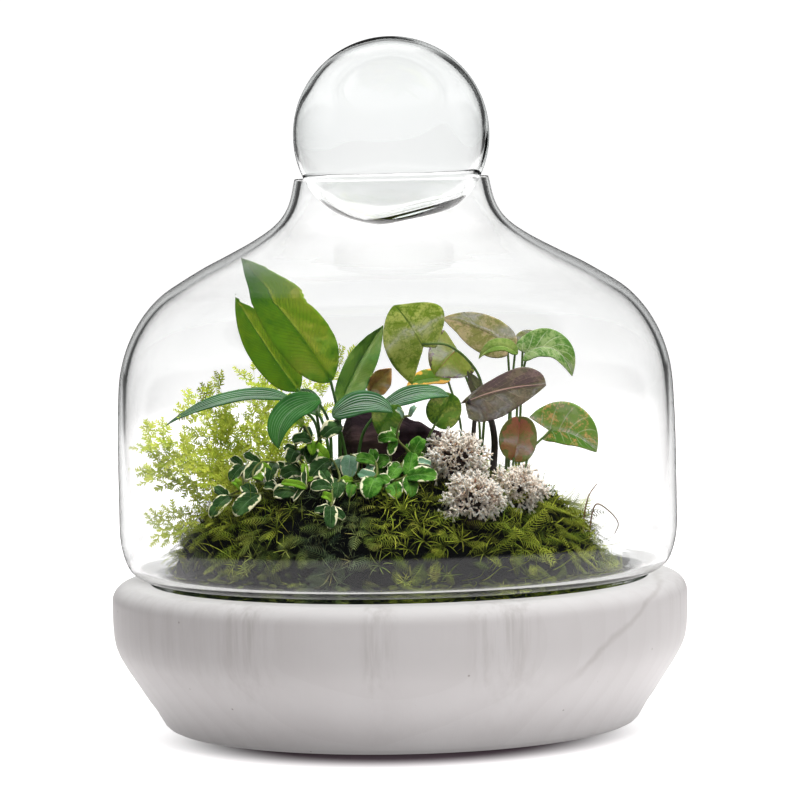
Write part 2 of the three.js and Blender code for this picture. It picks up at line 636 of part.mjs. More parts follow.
const dryLeaf = { root: [-14, 22], via: [[-12, 23, 165]], base: [-4, 24, 184], mid: [-9, 24, 192],
  tip: [-15, 24, 199], face: [0.5, -0.8, 0.2], ...even(8), outline: 'lance', fold: 0.5, rows: 4 };

const tendrils = [
  { root: [102, -20], points: [[104, -20, 123], [106, -19, 128], [110, -17, 133]] },
  { root: [106, -8], points: [[110, -9, 121], [117, -9, 117], [122, -8, 110], [120, -7, 104]] },
];

// Everything that grows out of the moss
const planted = [];

function plant(name, solid, colour, roughness) {
  planted.push({ name, solid, colour: colours[colour], roughness });
}

lilyLeaves.forEach((leaf, i) => {
  plant(`lily_leaf_${i + 1}`, stalkedLeaf({ outline: 'lance', ...leaf, stalk: 1.1 }), leaf.colour, 0.4);
});
vineLeaves.forEach((leaf, i) => {
  plant(`vine_leaf_${i + 1}`, stalkedLeaf({ outline: 'arrow', ...leaf }), leaf.colour, 0.5);
});
figStems.forEach((stem, i) => plant(`fig_stem_${i + 1}`, figStem(stem, i + 1), stem.colour, 0.45));
spikemossSprays.forEach((spray, i) => {
  plant(`spikemoss_spray_${i + 1}`, spikemossSpray(spray, i + 1), 'spikemoss', 0.7);
});
plant('dry_leaf', stalkedLeaf(dryLeaf), 'dry', 0.8);
tendrils.forEach((tendril, i) => {
  const path = rooted(tendril.root, 0.5, tendril.points, CREEPER_DEPTH);
  plant(`dry_tendril_${i + 1}`, tube(path, 0.5, 3, 2), 'dry', 0.8);
});

// The mound's two layers, with a plain hole for each stem and a hollow for what is bedded in it
function holeFor(socket) {
  const depth = socket.depth + 2 * GAP;
  const above = STEM_FOOT + 3;
  const reach = (socket.radius + 2 * GAP) * Math.SQRT2;
  const hole = new THREE.CylinderGeometry(reach, reach, depth + above, 4);
  hole.rotateX(Math.PI / 2).translate(socket.x, socket.y, socket.surface + above - (depth + above) / 2);
  return solidOf(hole);
}

const hollows = joined([
  ...sockets.map(holeFor),
  solidOf(logGeometry(1.5 * GAP)),
  ...lichenClumps.map((clump) => solidOf(lichenCore(clump, 1.5 * GAP))),
]);

// Moss shoots: thin needles that lean outwards, left out where another plant is near
function mossShoots() {
  const keepOut = [
    ...stemPoints.map((point) => ({ point, reach: 7.5 })),
    ...planted.flatMap(({ solid }) => {
      const corners = solid.getMesh().vertProperties;
      return Array.from({ length: corners.length / 3 }, (_, i) => (
        { point: vector(corners.subarray(3 * i, 3 * i + 3)), reach: 7.5 }));
    }),
    ...lichenClumps.map((clump) => ({ point: vector(clump.centre), reach: clump.radius + 9 })),
    ...[-20, 0, 20].map((x) => ({ point: vector(LOG.centre).add(new THREE.Vector3(x, 0, 0)), reach: 26 })),
  ];
  const shoots = [];
  const count = 72;
  const golden = Math.PI * (3 - Math.sqrt(5));
  for (let i = 0; i < count; i += 1) {
    const radius = 121 * Math.sqrt((i + 0.5) / count);
    const [x, y] = [radius * Math.cos(i * golden), radius * Math.sin(i * golden)];
    const foot = new THREE.Vector3(x, y, mossHeight(x, y) - 2.5);
    const lean = new THREE.Vector3(x / 160 + draw(i) - 0.5, y / 160 + draw(i + 0.5) - 0.5, 1.1).normalize();
    const length = 7 + 3 * draw(i + 0.25);
    const middle = foot.clone().addScaledVector(lean, length * 0.6);
    if (keepOut.some(({ point, reach }) => point.distanceTo(middle) < reach)) continue;
    shoots.push(spike(foot, lean, length, 1.1));
  }
  return shoots;
}

// The largest body of a solid, without the scraps that cutting leaves
const larger = (one, other) => (other.volume() > one.volume() ? other : one);
const largest = (solid) => solid.decompose().reduce(larger);

const soilBlock = solidOf(soilGeometry());
const underMoss = hollows.add(soilBlock.translate([0, 0, GAP]));
const moss = largest(joined([solidOf(mossGeometry()), ...mossShoots()]).subtract(underMoss));
const soil = soilBlock.subtract(hollows);

// The finished assembly
const terrarium = new THREE.Group();

function place(name, geometry, colour, roughness, look = {}) {
  const material = new THREE.MeshStandardMaterial({ color: colour, roughness, metalness: 0, ...look });
  const mesh = new THREE.Mesh(geometry, material);
  mesh.name = name;
  terrarium.add(mesh);
  return mesh;
}

const clear = { transparent: true, opacity: 0.3 };
place('base_bowl', geometryOf(solidOf(bowlGeometry())), colours.limewash, 0.55);
place('glass_dome', geometryOf(solidOf(domeGeometry())), colours.glass, 0.03, clear);
const ball = place('glass_ball', geometryOf(solidOf(ballGeometry())), colours.glass, 0.03, clear);
ball.rotation.y = -THREE.MathUtils.degToRad(BALL_TILT);
ball.position.set(BALL_SHIFT, 0, BALL_HEIGHT);
place('soil', geometryOf(soil), colours.soil, 0.95);
place('moss_mound', geometryOf(moss), colours.moss, 0.95);
place('driftwood', geometryOf(solidOf(logGeometry(0))), colours.bark, 0.85);
lichenClumps.forEach((clump, i) => {
  place(`lichen_clump_${i + 1}`, geometryOf(lichenClump(clump, i + 1)), colours.lichen, 0.9);
});
planted.forEach(({ name, solid, colour, roughness }) => place(name, geometryOf(solid), colour, roughness));

export default terrarium;
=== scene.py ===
import math
import random

import bmesh
import bpy
from mathutils import Matrix, Vector, noise


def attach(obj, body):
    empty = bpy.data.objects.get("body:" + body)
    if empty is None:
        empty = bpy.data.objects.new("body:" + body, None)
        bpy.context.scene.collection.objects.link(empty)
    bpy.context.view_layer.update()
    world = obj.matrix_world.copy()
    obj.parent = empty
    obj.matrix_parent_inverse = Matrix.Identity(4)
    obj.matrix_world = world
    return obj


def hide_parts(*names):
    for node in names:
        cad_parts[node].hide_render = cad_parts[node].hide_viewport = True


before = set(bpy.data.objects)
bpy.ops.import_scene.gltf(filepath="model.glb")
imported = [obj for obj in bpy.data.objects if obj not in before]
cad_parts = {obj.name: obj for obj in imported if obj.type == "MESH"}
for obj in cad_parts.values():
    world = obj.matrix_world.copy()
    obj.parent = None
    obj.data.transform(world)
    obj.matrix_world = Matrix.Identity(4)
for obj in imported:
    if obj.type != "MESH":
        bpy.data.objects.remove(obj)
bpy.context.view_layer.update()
MM = 0.001

# Camera. It stands two and a half metres in front of the terrarium and a little above its shoulder,
# and it leans by about one degree.
stand = Vector((0, -2.485, 0.344))
aim = Vector((0.0023, 0, 0.1804))
lean = -0.0204

camera_data = bpy.data.cameras.new("camera")
camera_data.lens = 201.6
camera_data.sensor_width = 36
camera = bpy.data.objects.new("camera", camera_data)
bpy.context.scene.collection.objects.link(camera)
towards = (aim - stand).to_track_quat("-Z", "Y").to_matrix().to_4x4()
camera.matrix_world = Matrix.Translation(stand) @ towards @ Matrix.Rotation(lean, 4, "Z")
bpy.context.scene.camera = camera

# Studio. A white floor runs out to a white wall. What the glass mirrors is a dim room, so that its edges read
# dark, and light that was turned inside the glass sees white only straight behind the terrarium and above it.
# One large soft lamp hangs over it. The floor glows too: to mirrored light it is painted dark, the shadow of
# the foot is painted onto it, falling forward, and its glow to other light is painted weaker at the left.
floor_size, floor_drop = 40, 0.0003
floor_near, floor_shaded = (0.42, 0.40, 0.40, 1), (0.12, 0.085, 0.105, 1)
floor_mirrored = (0.02, 0.02, 0.02, 1)
floor_glow = 0.80
floor_glow_left, floor_glow_right = 0.70 * floor_glow, 1.05 * floor_glow

# How bright the wall and the floor look straight on, and then to light that has gone through the glass:
# behind the terrarium, beside it and before it. Each reach is where the middle fades to the sides.
wall_seen, floor_seen = 1.10, 0.86
floor_far = wall_seen - 0.12
wall_behind, wall_beside, wall_before = 1.05, 0.26, 0.03
floor_behind, floor_beside, floor_before = wall_behind - 0.05, wall_beside * 0.8, 0.14
wall_reach, floor_reach = (0.972, 0.994), (0.9885, 0.9955)

# The dim room that the glass mirrors, and the wall that light turned inside the glass sees, with a bright
# patch above the terrarium's back.
mirrored_room, bent_dark = 0.05, 0.07
bent_reach, bent_floor_reach = (0.925, 0.955), (0.962, 0.976)
bright_height, bright_depth, bright_side = (0.25, 0.45), (0.45, 0.6), (0.36, 0.24)

# The foot's shadow, painted onto the floor: how far forward its middle lies, where it fades to the eye and to
# other light, and how dark it is.
shadow_forward = 0.050
shadow_seen, shadow_cast, shadow_tone = (0.084, 0.139), (0.10, 0.16), 0.42
floor_fading, floor_mirror_edge = (0.32, 0.90), (0.46, 0.54)
lamp_aim = Vector((0, 0, 0.15))


def finished(name, bm):
    mesh = bpy.data.meshes.new(name)
    bm.to_mesh(mesh)
    bm.free()
    piece = bpy.data.objects.new(name, mesh)
    bpy.context.scene.collection.objects.link(piece)
    for face in mesh.polygons:
        face.use_smooth = True
    return piece


def shader(name):
    material = bpy.data.materials.new(name)
    material.use_nodes = True
    tree = material.node_tree
    return material, tree, tree.nodes["Principled BSDF"]


def fill(tree, node, sockets):
    """Give each named socket its value, or join it to the output that is given for it."""
    for socket, value in sockets.items():
        if isinstance(value, bpy.types.NodeSocket):
            tree.links.new(value, node.inputs[socket])
        else:
            node.inputs[socket].default_value = value


def add(tree, kind, sockets={}, **settings):
    made = tree.nodes.new("ShaderNode" + kind)
    for setting, value in settings.items():
        setattr(made, setting, value)
    fill(tree, made, sockets)
    return made


def maths(tree, operation, *values, **settings):
    return add(tree, "Math", dict(enumerate(values)), operation=operation, **settings).outputs[0]


def vector_maths(tree, operation, *values):
    made = add(tree, "VectorMath", dict(enumerate(values)), operation=operation)
    return made.outputs["Value" if operation in ("LENGTH", "DOT_PRODUCT") else "Vector"]


def ramp(tree, value, start, end, low=0.0, high=1.0, smooth=False):
    """Low where the value is at its start, high where it is at its end."""
    sockets = {"Value": value, "From Min": start, "From Max": end, "To Min": low, "To Max": high}
    curve = "SMOOTHSTEP" if smooth else "LINEAR"
    return add(tree, "MapRange", sockets, interpolation_type=curve).outputs["Result"]


def mixed(tree, share, first, second, kind="FLOAT"):
    return add(tree, "Mix", {"Factor": share, "A": first, "B": second}, data_type=kind).outputs["Result"]


def blend(tree, share, first, second):
    return mixed(tree, share, first, second, "RGBA")


def parts_of(tree, place):
    return add(tree, "SeparateXYZ", {"Vector": place}).outputs


def paint(red, green, blue):
    return tuple((part / 255 / 12.92 if part < 11 else ((part / 255 + 0.055) / 1.055) ** 2.4)
                 for part in (red, green, blue)) + (1,)


def ray_kinds(tree):
    """One or nought for light that came straight through the glass, was turned in it, and was mirrored."""
    ray = add(tree, "LightPath").outputs
    turns = maths(tree, "ADD", ray["Glossy Depth"], ray["Diffuse Depth"])
    direct = maths(tree, "ADD", ray["Is Camera Ray"], ray["Is Transmission Ray"])
    straight = maths(tree, "MULTIPLY", maths(tree, "LESS_THAN", turns, 0.5), direct, use_clamp=True)
    only_glass = maths(tree, "LESS_THAN", ray["Diffuse Depth"], 0.5)
    bent = maths(tree, "MULTIPLY", only_glass, ray["Is Transmission Ray"])
    sheer = maths(tree, "MULTIPLY", ray["Is Reflection Ray"], ray["Is Singular Ray"])
    return straight, bent, sheer, ray["Is Glossy Ray"]


bpy.context.scene.view_settings.view_transform = "Standard"

bm = bmesh.new()
bmesh.ops.create_grid(bm, x_segments=1, y_segments=1, size=floor_size)
bmesh.ops.translate(bm, verts=bm.verts, vec=(0, 0, -floor_drop))
floor = finished("floor", bm)
floor_material, tree, surface = shader("floor")
straight, bent, sheer, glossy = ray_kinds(tree)
place = add(tree, "TexCoord").outputs["Object"]
spot = parts_of(tree, place)
from_middle = vector_maths(tree, "LENGTH", place)
from_shadow = vector_maths(tree, "LENGTH", vector_maths(tree, "ADD", place, (0, shadow_forward, 0)))
from_stand = vector_maths(tree, "SUBTRACT", place, (0, stand.y, 0))
bearing = parts_of(tree, vector_maths(tree, "NORMALIZE", from_stand))["Y"]
in_line = ramp(tree, bearing, *floor_reach, floor_beside, floor_behind, smooth=True)
bent_line = ramp(tree, bearing, *bent_floor_reach, bent_dark, wall_behind, smooth=True)
behind = ramp(tree, spot["Y"], -0.25, 0.25, smooth=True)
far = ramp(tree, from_middle, *floor_fading, smooth=True)
far_glow = mixed(tree, behind, floor_before, mixed(tree, bent, in_line, bent_line))
# Painted shadow: round the foot, centred in front of it, the floor is darker and glows less.
unshaded = ramp(tree, from_shadow, *shadow_seen, smooth=True)
seen_shade = blend(tree, unshaded, floor_shaded, floor_near)
seen_glow = maths(tree, "MULTIPLY", mixed(tree, far, floor_seen, floor_far), unshaded)
under = ramp(tree, from_shadow, *shadow_cast, shadow_tone, smooth=True)
# Painted light: to other light the floor glows less at the left than at the right.
sideways = ramp(tree, spot["X"], -0.30, 0.30, floor_glow_left, floor_glow_right)
cast_glow = mixed(tree, far, maths(tree, "MULTIPLY", under, sideways), far_glow)
beyond = ramp(tree, from_middle, *floor_mirror_edge, 0.5)
# Painted reflection: to mirrored light the floor turns dark, except behind the terrarium.
dark = maths(tree, "MULTIPLY", maths(tree, "SUBTRACT", beyond, behind, use_clamp=True), glossy)
dark = maths(tree, "MAXIMUM", dark, maths(tree, "MULTIPLY", sheer, beyond))
cast_shade = blend(tree, dark, floor_near, floor_mirrored)
cast_glow = mixed(tree, dark, cast_glow, 0.0)
fill(tree, surface, {
    "Base Color": blend(tree, straight, cast_shade, seen_shade), "Roughness": 0.9, "Specular IOR Level": 0.1,
    "Emission Color": (1, 1, 1, 1), "Emission Strength": mixed(tree, straight, cast_glow, seen_glow),
})
floor_material.cycles.emission_sampling = "NONE"
floor.data.materials.append(floor_material)

world = bpy.data.worlds.new("studio")
world.use_nodes = True
tree = world.node_tree
straight, bent, sheer, _ = ray_kinds(tree)
heading = parts_of(tree, add(tree, "TexCoord").outputs["Generated"])
sides = ramp(tree, heading["Y"], -0.4, 0.4, wall_before, wall_beside)
wall = ramp(tree, heading["Y"], *wall_reach, sides, wall_behind, smooth=True)
room = mixed(tree, sheer, wall, mirrored_room)
bent_wall = ramp(tree, heading["Y"], *bent_reach, bent_dark, wall_behind, smooth=True)
above, away = ramp(tree, heading["Z"], *bright_height), ramp(tree, heading["Y"], *bright_depth)
in_front = ramp(tree, maths(tree, "ABSOLUTE", heading["X"]), *bright_side)
bright = maths(tree, "MULTIPLY", maths(tree, "MULTIPLY", above, away), in_front)
bent_room = maths(tree, "MAXIMUM", bent_wall, bright)
strength = mixed(tree, straight, mixed(tree, bent, room, bent_room), wall_seen)
fill(tree, tree.nodes["Background"], {"Color": (1, 1, 1, 1), "Strength": strength})
bpy.context.scene.world = world


def softbox(name, place, size, power):
    """A soft lamp turned to the terrarium. It lights the scene and isn't seen itself."""
    data = bpy.data.lights.new(name, "AREA")
    data.shape = "RECTANGLE"
    data.size, data.size_y = size
    data.energy = power
    lamp = bpy.data.objects.new(name, data)
    bpy.context.scene.collection.objects.link(lamp)
    lamp.location = place
    lamp.visible_transmission = lamp.visible_camera = lamp.visible_glossy = False
    lamp.rotation_euler = (lamp_aim - Vector(place)).to_track_quat("-Z", "Y").to_euler()


softbox("lamp_over", (0.2, -0.1, 2.6), (2.0, 2.0), 122)
softbox("lamp_left", (-2.2, -1.6, 1.3), (1.2, 1.6), 1.5)
softbox("lamp_right", (1.6, -2.2, 1.2), (1.2, 1.6), 30)
softbox("lamp_behind", (-0.6, 2.4, 1.0), (2.4, 1.4), 34)

# Bowl. It is one block of pale wood, turned with a flat foot, a flaring side and a rounded shoulder,
# with a rebate for the glass, and washed white so that the grain only just shows. Shade is painted into the
# wash: it darkens higher up the side, and the rebate is dark green as the shaded gap under the glass.
bowl_profile = [
    (0, 0), (60, 0), (124, 0), (127.5, 0.7), (130.3, 2.0), (132.2, 3.8), (134.2, 7.2), (137, 12), (141, 17.4),
    (146.4, 25.8), (152, 34.4), (156.4, 42.0), (158.3, 46.8), (159.3, 52), (159.8, 58), (160, 65), (160, 72),
]
shoulder_turns = [math.radians(9 * i) for i in range(1, 11)]
shoulder = [(150 + 10 * math.cos(turn), 72 + 10 * math.sin(turn)) for turn in shoulder_turns]
bowl_inside = [
    (138.8, 82), (138.2, 81.8), (138, 81.2), (138, 77), (126, 77), (126, 30), (123, 25), (118, 22), (60, 22),
    (0, 22),
]
# Where the grey streaks stand in groups, as shares of the width from the left, and how strong they are there.
streak_groups = [
    (0.06, 0.35), (0.19, 0.3), (0.25, 1.0), (0.31, 0.1), (0.43, 0.0), (0.45, 0.9), (0.48, 0.7), (0.50, 0.0),
    (0.60, 0.0), (0.64, 0.9), (0.70, 0.8), (0.75, 0.0), (0.95, 0.1),
]


def turned(name, profile, steps=144):
    bm = bmesh.new()
    points = [bm.verts.new((radius * MM, 0, height * MM)) for radius, height in profile]
    edges = [bm.edges.new(pair) for pair in zip(points, points[1:])]
    bmesh.ops.spin(
        bm, geom=points + edges, axis=(0, 0, 1), cent=(0, 0, 0), angle=2 * math.pi, steps=steps,
        use_merge=True,
    )
    bmesh.ops.remove_doubles(bm, verts=bm.verts, dist=1e-6)
    bmesh.ops.recalc_face_normals(bm, faces=bm.faces)
    return finished(name, bm)


def crisp(piece, degrees=35):
    for edge in piece.data.edges:
        edge.use_edge_sharp = False
    bm = bmesh.new()
    bm.from_mesh(piece.data)
    for edge in bm.edges:
        if len(edge.link_faces) == 2 and edge.calc_face_angle() > math.radians(degrees):
            edge.smooth = False
    bm.to_mesh(piece.data)
    bm.free()


def cloud(tree, place, scale, **more):
    return add(tree, "TexNoise", {"Vector": place, "Scale": scale, **more}).outputs["Fac"]


def mapped(tree, place, **more):
    return add(tree, "Mapping", {"Vector": place, **more}).outputs["Vector"]


def bumps(tree, height, strength, depth):
    return add(tree, "Bump", {"Height": height, "Strength": strength, "Distance": depth}).outputs["Normal"]


bowl = turned("white_bowl", bowl_profile + shoulder + bowl_inside)
crisp(bowl)
limewash, tree, surface = shader("limewashed_wood")
place = add(tree, "TexCoord").outputs["Object"]
seat = parts_of(tree, place)
along_grain = mapped(tree, place, Rotation=(0, 0.12, 0.5), Scale=(3.2, 22, 9))
rings = add(tree, "TexWave", {
    "Vector": along_grain, "Scale": 1.1, "Distortion": 7, "Detail": 3, "Detail Scale": 0.7,
    "Detail Roughness": 0.55,
}, wave_type="BANDS", bands_direction="Y", wave_profile="SAW").outputs["Fac"]
upright = mapped(tree, place, Rotation=(0, 0.16, 0), Scale=(1, 1, 0.07))
streaks = cloud(tree, upright, 210, Detail=4, Roughness=0.6)
mottle = cloud(tree, place, 28, Detail=5, Roughness=0.6)
groups = add(tree, "ValToRGB", {"Fac": ramp(tree, seat["X"], -0.16, 0.16)})
for share, strength in streak_groups:
    groups.color_ramp.elements.new(share).color = (strength, strength, strength, 1)
grouped = maths(tree, "MULTIPLY", ramp(tree, streaks, 0.42, 0.74, high=0.55), groups.outputs["Color"])
uneven_height = maths(tree, "MULTIPLY_ADD", mottle, 0.03, seat["Z"])
worn = maths(tree, "MULTIPLY", grouped, ramp(tree, uneven_height, 0.045, 0.075, 0.12))
slant = vector_maths(tree, "DOT_PRODUCT", place, (-0.643, 0, 0.765))
slant = maths(tree, "ADD", maths(tree, "MULTIPLY_ADD", mottle, 0.012, slant), 0.0225)
arc = ramp(tree, maths(tree, "ABSOLUTE", slant), 0.0028, 0.0, high=0.3, smooth=True)
worn = maths(tree, "MAXIMUM", worn, maths(tree, "MULTIPLY", arc, ramp(tree, seat["X"], 0.085, 0.10)))
pinholes = add(tree, "TexVoronoi", {"Vector": place, "Scale": 55, "Randomness": 1}).outputs["Distance"]
worn = maths(tree, "MAXIMUM", worn, ramp(tree, pinholes, 0.045, 0.02, high=0.8))
# Painted shade: the wash turns darker higher up the side.
painted_shade_higher = ramp(tree, seat["Z"], 0.024, 0.060, high=0.36, smooth=True)
washed = blend(tree, mottle, paint(196, 193, 193), paint(207, 205, 205))
washed = blend(tree, painted_shade_higher, washed, paint(156, 152, 151))
grained = blend(tree, ramp(tree, rings, 0.45, 1.0, high=0.08), washed, paint(160, 153, 152))
aged = blend(tree, worn, grained, paint(136, 129, 125))
# Painted shade: the rebate is dark green, as the shaded gap under the glass's mouth.
from_axis = vector_maths(tree, "LENGTH", mapped(tree, place, Scale=(1, 1, 0)))
in_rebate = ramp(tree, from_axis, 0.1392, 0.1384)
rebate_painted_shade = maths(tree, "MULTIPLY", maths(tree, "GREATER_THAN", seat["Z"], 0.060), in_rebate)
fill(tree, surface, {
    "Base Color": blend(tree, rebate_painted_shade, aged, paint(34, 42, 30)), "Normal": bumps(tree, streaks, 0.25, 0.0004),
    "Roughness": 0.42, "Specular IOR Level": 0.35,
})
bowl.data.materials.append(limewash)
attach(bowl, "root")
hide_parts("base_bowl")

# Dome. It is clear soda glass, blown to a wall of about four millimetres: a mouth turned in to stand in
# the bowl's rebate, upright sides, sloping shoulders, and a short neck that flares down from its cut rim.
dome_outside = [
    (132, 77.3), (133.2, 78.8), (134.6, 80.6), (136.6, 82.3), (139.5, 83.7), (142.8, 84.9), (146, 86.4),
    (148.6, 88.6), (150.6, 91.4), (152.2, 95.2), (153.5, 99.6), (154.4, 104.2), (154.9, 109.5), (155, 118),
    (155, 133), (155, 148), (154.9, 160), (154.6, 172), (154.2, 182), (153.6, 191), (152.8, 197.5),
    (151.4, 204), (149.5, 210.3), (146.9, 216.8), (143.6, 223.2), (139.4, 229.7), (133.7, 236.5),
    (127, 242.5), (116.2, 249.4), (104.5, 256.2), (91.2, 262.9), (79.3, 269.2), (72.6, 273.2),
    (66.4, 277.6), (61.9, 282), (58.9, 286.4), (56.9, 290.8), (55.6, 295.2), (54.7, 299.6),
    (53.9, 303.2), (53.6, 304),
]
glass_wall = 4


def on_path(points, share):
    """A point on the smooth curve through the points, as a share of the way."""
    place = share * (len(points) - 1)
    i = min(int(place), len(points) - 2)
    t = place - i
    here, there = points[i], points[i + 1]
    before = points[i - 1] if i else 2 * here - there
    after = points[i + 2] if i + 2 < len(points) else 2 * there - here
    spans = ((before, here), (here, there), (there, after))
    first, second, third = [max((b - a).length, 1e-3) ** 0.5 for a, b in spans]
    start = ((here - before) / first - (there - before) / (first + second) + (there - here) / second) * second
    end = ((there - here) / second - (after - here) / (second + third) + (after - there) / third) * second
    return (here * (2 * t ** 3 - 3 * t ** 2 + 1) + there * (3 * t ** 2 - 2 * t ** 3)
            + start * (t ** 3 - 2 * t ** 2 + t) + end * (t ** 3 - t ** 2))


def wall_inside(outside, thickness):
    """The inner outline. It keeps the height of the cut ends and lies square to the wall between them."""
    inside = []
    last = len(outside) - 1
    for i, (radius, height) in enumerate(outside):
        before, after = outside[max(i - 1, 0)], outside[min(i + 1, last)]
        run = Vector((after[0] - before[0], after[1] - before[1])).normalized()
        inward = thickness if i == 0 else run.y * thickness
        inside.append((radius - inward, height + (0 if i in (0, last) else run.x * thickness)))
    return inside


def glass_finish(name, tint, density):
    material, tree, surface = shader(name)
    fill(tree, surface, {
        "Base Color": (1, 1, 1, 1), "Roughness": 0.0, "Transmission Weight": 1.0, "IOR": 1.5,
        "Specular IOR Level": 0.3,
    })
    in_shadow = add(tree, "LightPath").outputs["Is Shadow Ray"]
    clear = add(tree, "BsdfTransparent").outputs["BSDF"]
    seen = add(tree, "MixShader", {0: in_shadow, 1: surface.outputs["BSDF"], 2: clear}).outputs["Shader"]
    body = add(tree, "VolumeAbsorption", {"Color": tint, "Density": density}).outputs["Volume"]
    fill(tree, tree.nodes["Material Output"], {"Surface": seen, "Volume": body})
    return material


outline = [Vector((*point, 0)) for point in dome_outside]
last_step = 3 * (len(outline) - 1)
dome_outside = [on_path(outline, i / last_step).xy[:] for i in range(last_step + 1)]
dome_inside = wall_inside(dome_outside, glass_wall)
dome = turned("clear_dome", dome_outside + dome_inside[::-1] + dome_outside[:1], steps=192)
crisp(dome, 50)
dome.data.materials.append(glass_finish("dome_glass", (0.80, 0.92, 0.88, 1), 9))
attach(dome, "root")
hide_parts("glass_dome")

# Ball. It is the dome's lid, a blown ball that only rests in the neck. Its wall is a little uneven, and
# under it is a thick flat where it was cut from the pipe and ground, which lies tilted to the right.
ball_radius, ball_wall = 54.4, 3
ball_flat, ball_flat_edge, ball_flat_hollow = 50, 21.4, 0.4
ball_floor = 43.5
swirl_size, swirl_depth = 34, 0.016
ball_tilt = math.radians(15)
ball_centre = Vector((0.4, 0, 327.75)) * MM

bm = bmesh.new()
bmesh.ops.create_uvsphere(bm, u_segments=96, v_segments=64, radius=ball_radius * MM)
for vert in bm.verts:
    if vert.co.z < -ball_flat * MM:
        edge_share = min(vert.co.xy.length / (ball_flat_edge * MM), 1)
        vert.co.z = (-ball_flat - ball_flat_hollow * edge_share ** 6 + ball_flat_hollow) * MM
outer_faces = set(bm.faces)
inner = bmesh.ops.create_uvsphere(bm, u_segments=96, v_segments=64, radius=(ball_radius - ball_wall) * MM)
for vert in inner["verts"]:
    height = vert.co.z / MM
    if height < -ball_floor:
        vert.co.z = (-ball_floor - 0.25 * (-ball_floor - height)) * MM
    swirl = vert.co / (swirl_size * MM)
    vert.co *= 1 + swirl_depth * noise.noise(swirl + Vector((3, 1, 7)))
bmesh.ops.reverse_faces(bm, faces=[face for face in bm.faces if face not in outer_faces])
bmesh.ops.rotate(bm, verts=bm.verts, cent=(0, 0, 0), matrix=Matrix.Rotation(-ball_tilt, 3, "Y"))
bmesh.ops.translate(bm, verts=bm.verts, vec=ball_centre)
ball = finished("glass_ball_lid", bm)
ball.data.materials.append(glass_finish("ball_glass", (0.50, 0.86, 0.76, 1), 8))
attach(ball, "root")
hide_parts("glass_ball")

# Soil. It is dark potting mix with small crumbs, heaped in the bowl under the moss. It fills the bowl's
# hollow up to the rebate, and the taller plants are rooted in it through the moss.
potting_soil, tree, surface = shader("potting_soil")
place = add(tree, "TexCoord").outputs["Object"]
crumbs = add(tree, "TexVoronoi", {"Vector": place, "Scale": 420, "Randomness": 1}).outputs["Distance"]
tone = blend(tree, cloud(tree, place, 90, Detail=6), paint(26, 19, 15), paint(74, 56, 42))
fill(tree, surface, {
    "Base Color": tone, "Normal": bumps(tree, crumbs, 0.8, 0.001), "Roughness": 0.95,
    "Specular IOR Level": 0.1,
})
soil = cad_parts["soil"]
soil.data.materials.clear()
soil.data.materials.append(potting_soil)

# Moss. Sheets of feather moss are laid over the soil: a dense mat, near black partly as the moss's own dark
# underlayer and partly as painted shade deep among the fronds, and on it thousands of soft fronds that arch
# outwards, yellow green at their tips, with a few loose wiry strands and starry tufts. Low down by the mat
# the fronds are painted dark as shade, and in the fig leaves' shade they are painted in cooler, darker
# greens.
moss_radius, moss_low, moss_lift = 125.6, 76.4, 58
mound_foot, mound_reach = 81, 124
fronds_reach, strands_reach, tufts_reach, edge_from = 122, 119, 121, 112
frond_count, strand_count, tuft_count, pressed_count = 1900, 1300, 1300, 1500
painted_shade_height = 7.5


def drawn(seed):
    """A number from nought to one that is the same each time for one seed."""
    wave = math.sin(seed * 12.9898 + 4.1414) * 43758.5453
    return wave - math.floor(wave)


def mound_height(x, y):
    radius = math.hypot(x, y)
    reach = radius + 4 + 6 * x / max(radius, 6)
    return mound_foot + moss_lift * (1 - min(reach / mound_reach, 1) ** 3.2) ** 0.6


def moss_height(x, y):
    height = mound_height(x, y)
    lumps = math.sin(x / 11) * math.cos(y / 13) + 0.5 * math.sin(x / 6 + y / 7)
    return height + 2.2 * lumps * min((height - mound_foot) / 25, 1)


def moss_slope(x, y):
    along_x = moss_height(x + 1.5, y) - moss_height(x - 1.5, y)
    along_y = moss_height(x, y + 1.5) - moss_height(x, y - 1.5)
    return Vector((-along_x / 3, -along_y / 3, 1)).normalized()


def in_moss(x, y, depth):
    return Vector((x, y, moss_height(x, y) - depth))


def strip(bm, steps):
    return bmesh.ops.create_grid(bm, x_segments=steps, y_segments=1, size=0.5)["verts"]


def to_metres(bm):
    bmesh.ops.scale(bm, verts=bm.verts, vec=(MM, MM, MM))


def small_shape(name, bm, tips):
    """A mesh that is copied many times, with a number at each point for how near a tip it is."""
    bm.verts.index_update()
    nearness = [0.0] * len(bm.verts)
    for vert, tip in tips.items():
        nearness[vert.index] = tip
    to_metres(bm)
    mesh = bpy.data.meshes.new(name)
    bm.to_mesh(mesh)
    bm.free()
    return mesh, nearness


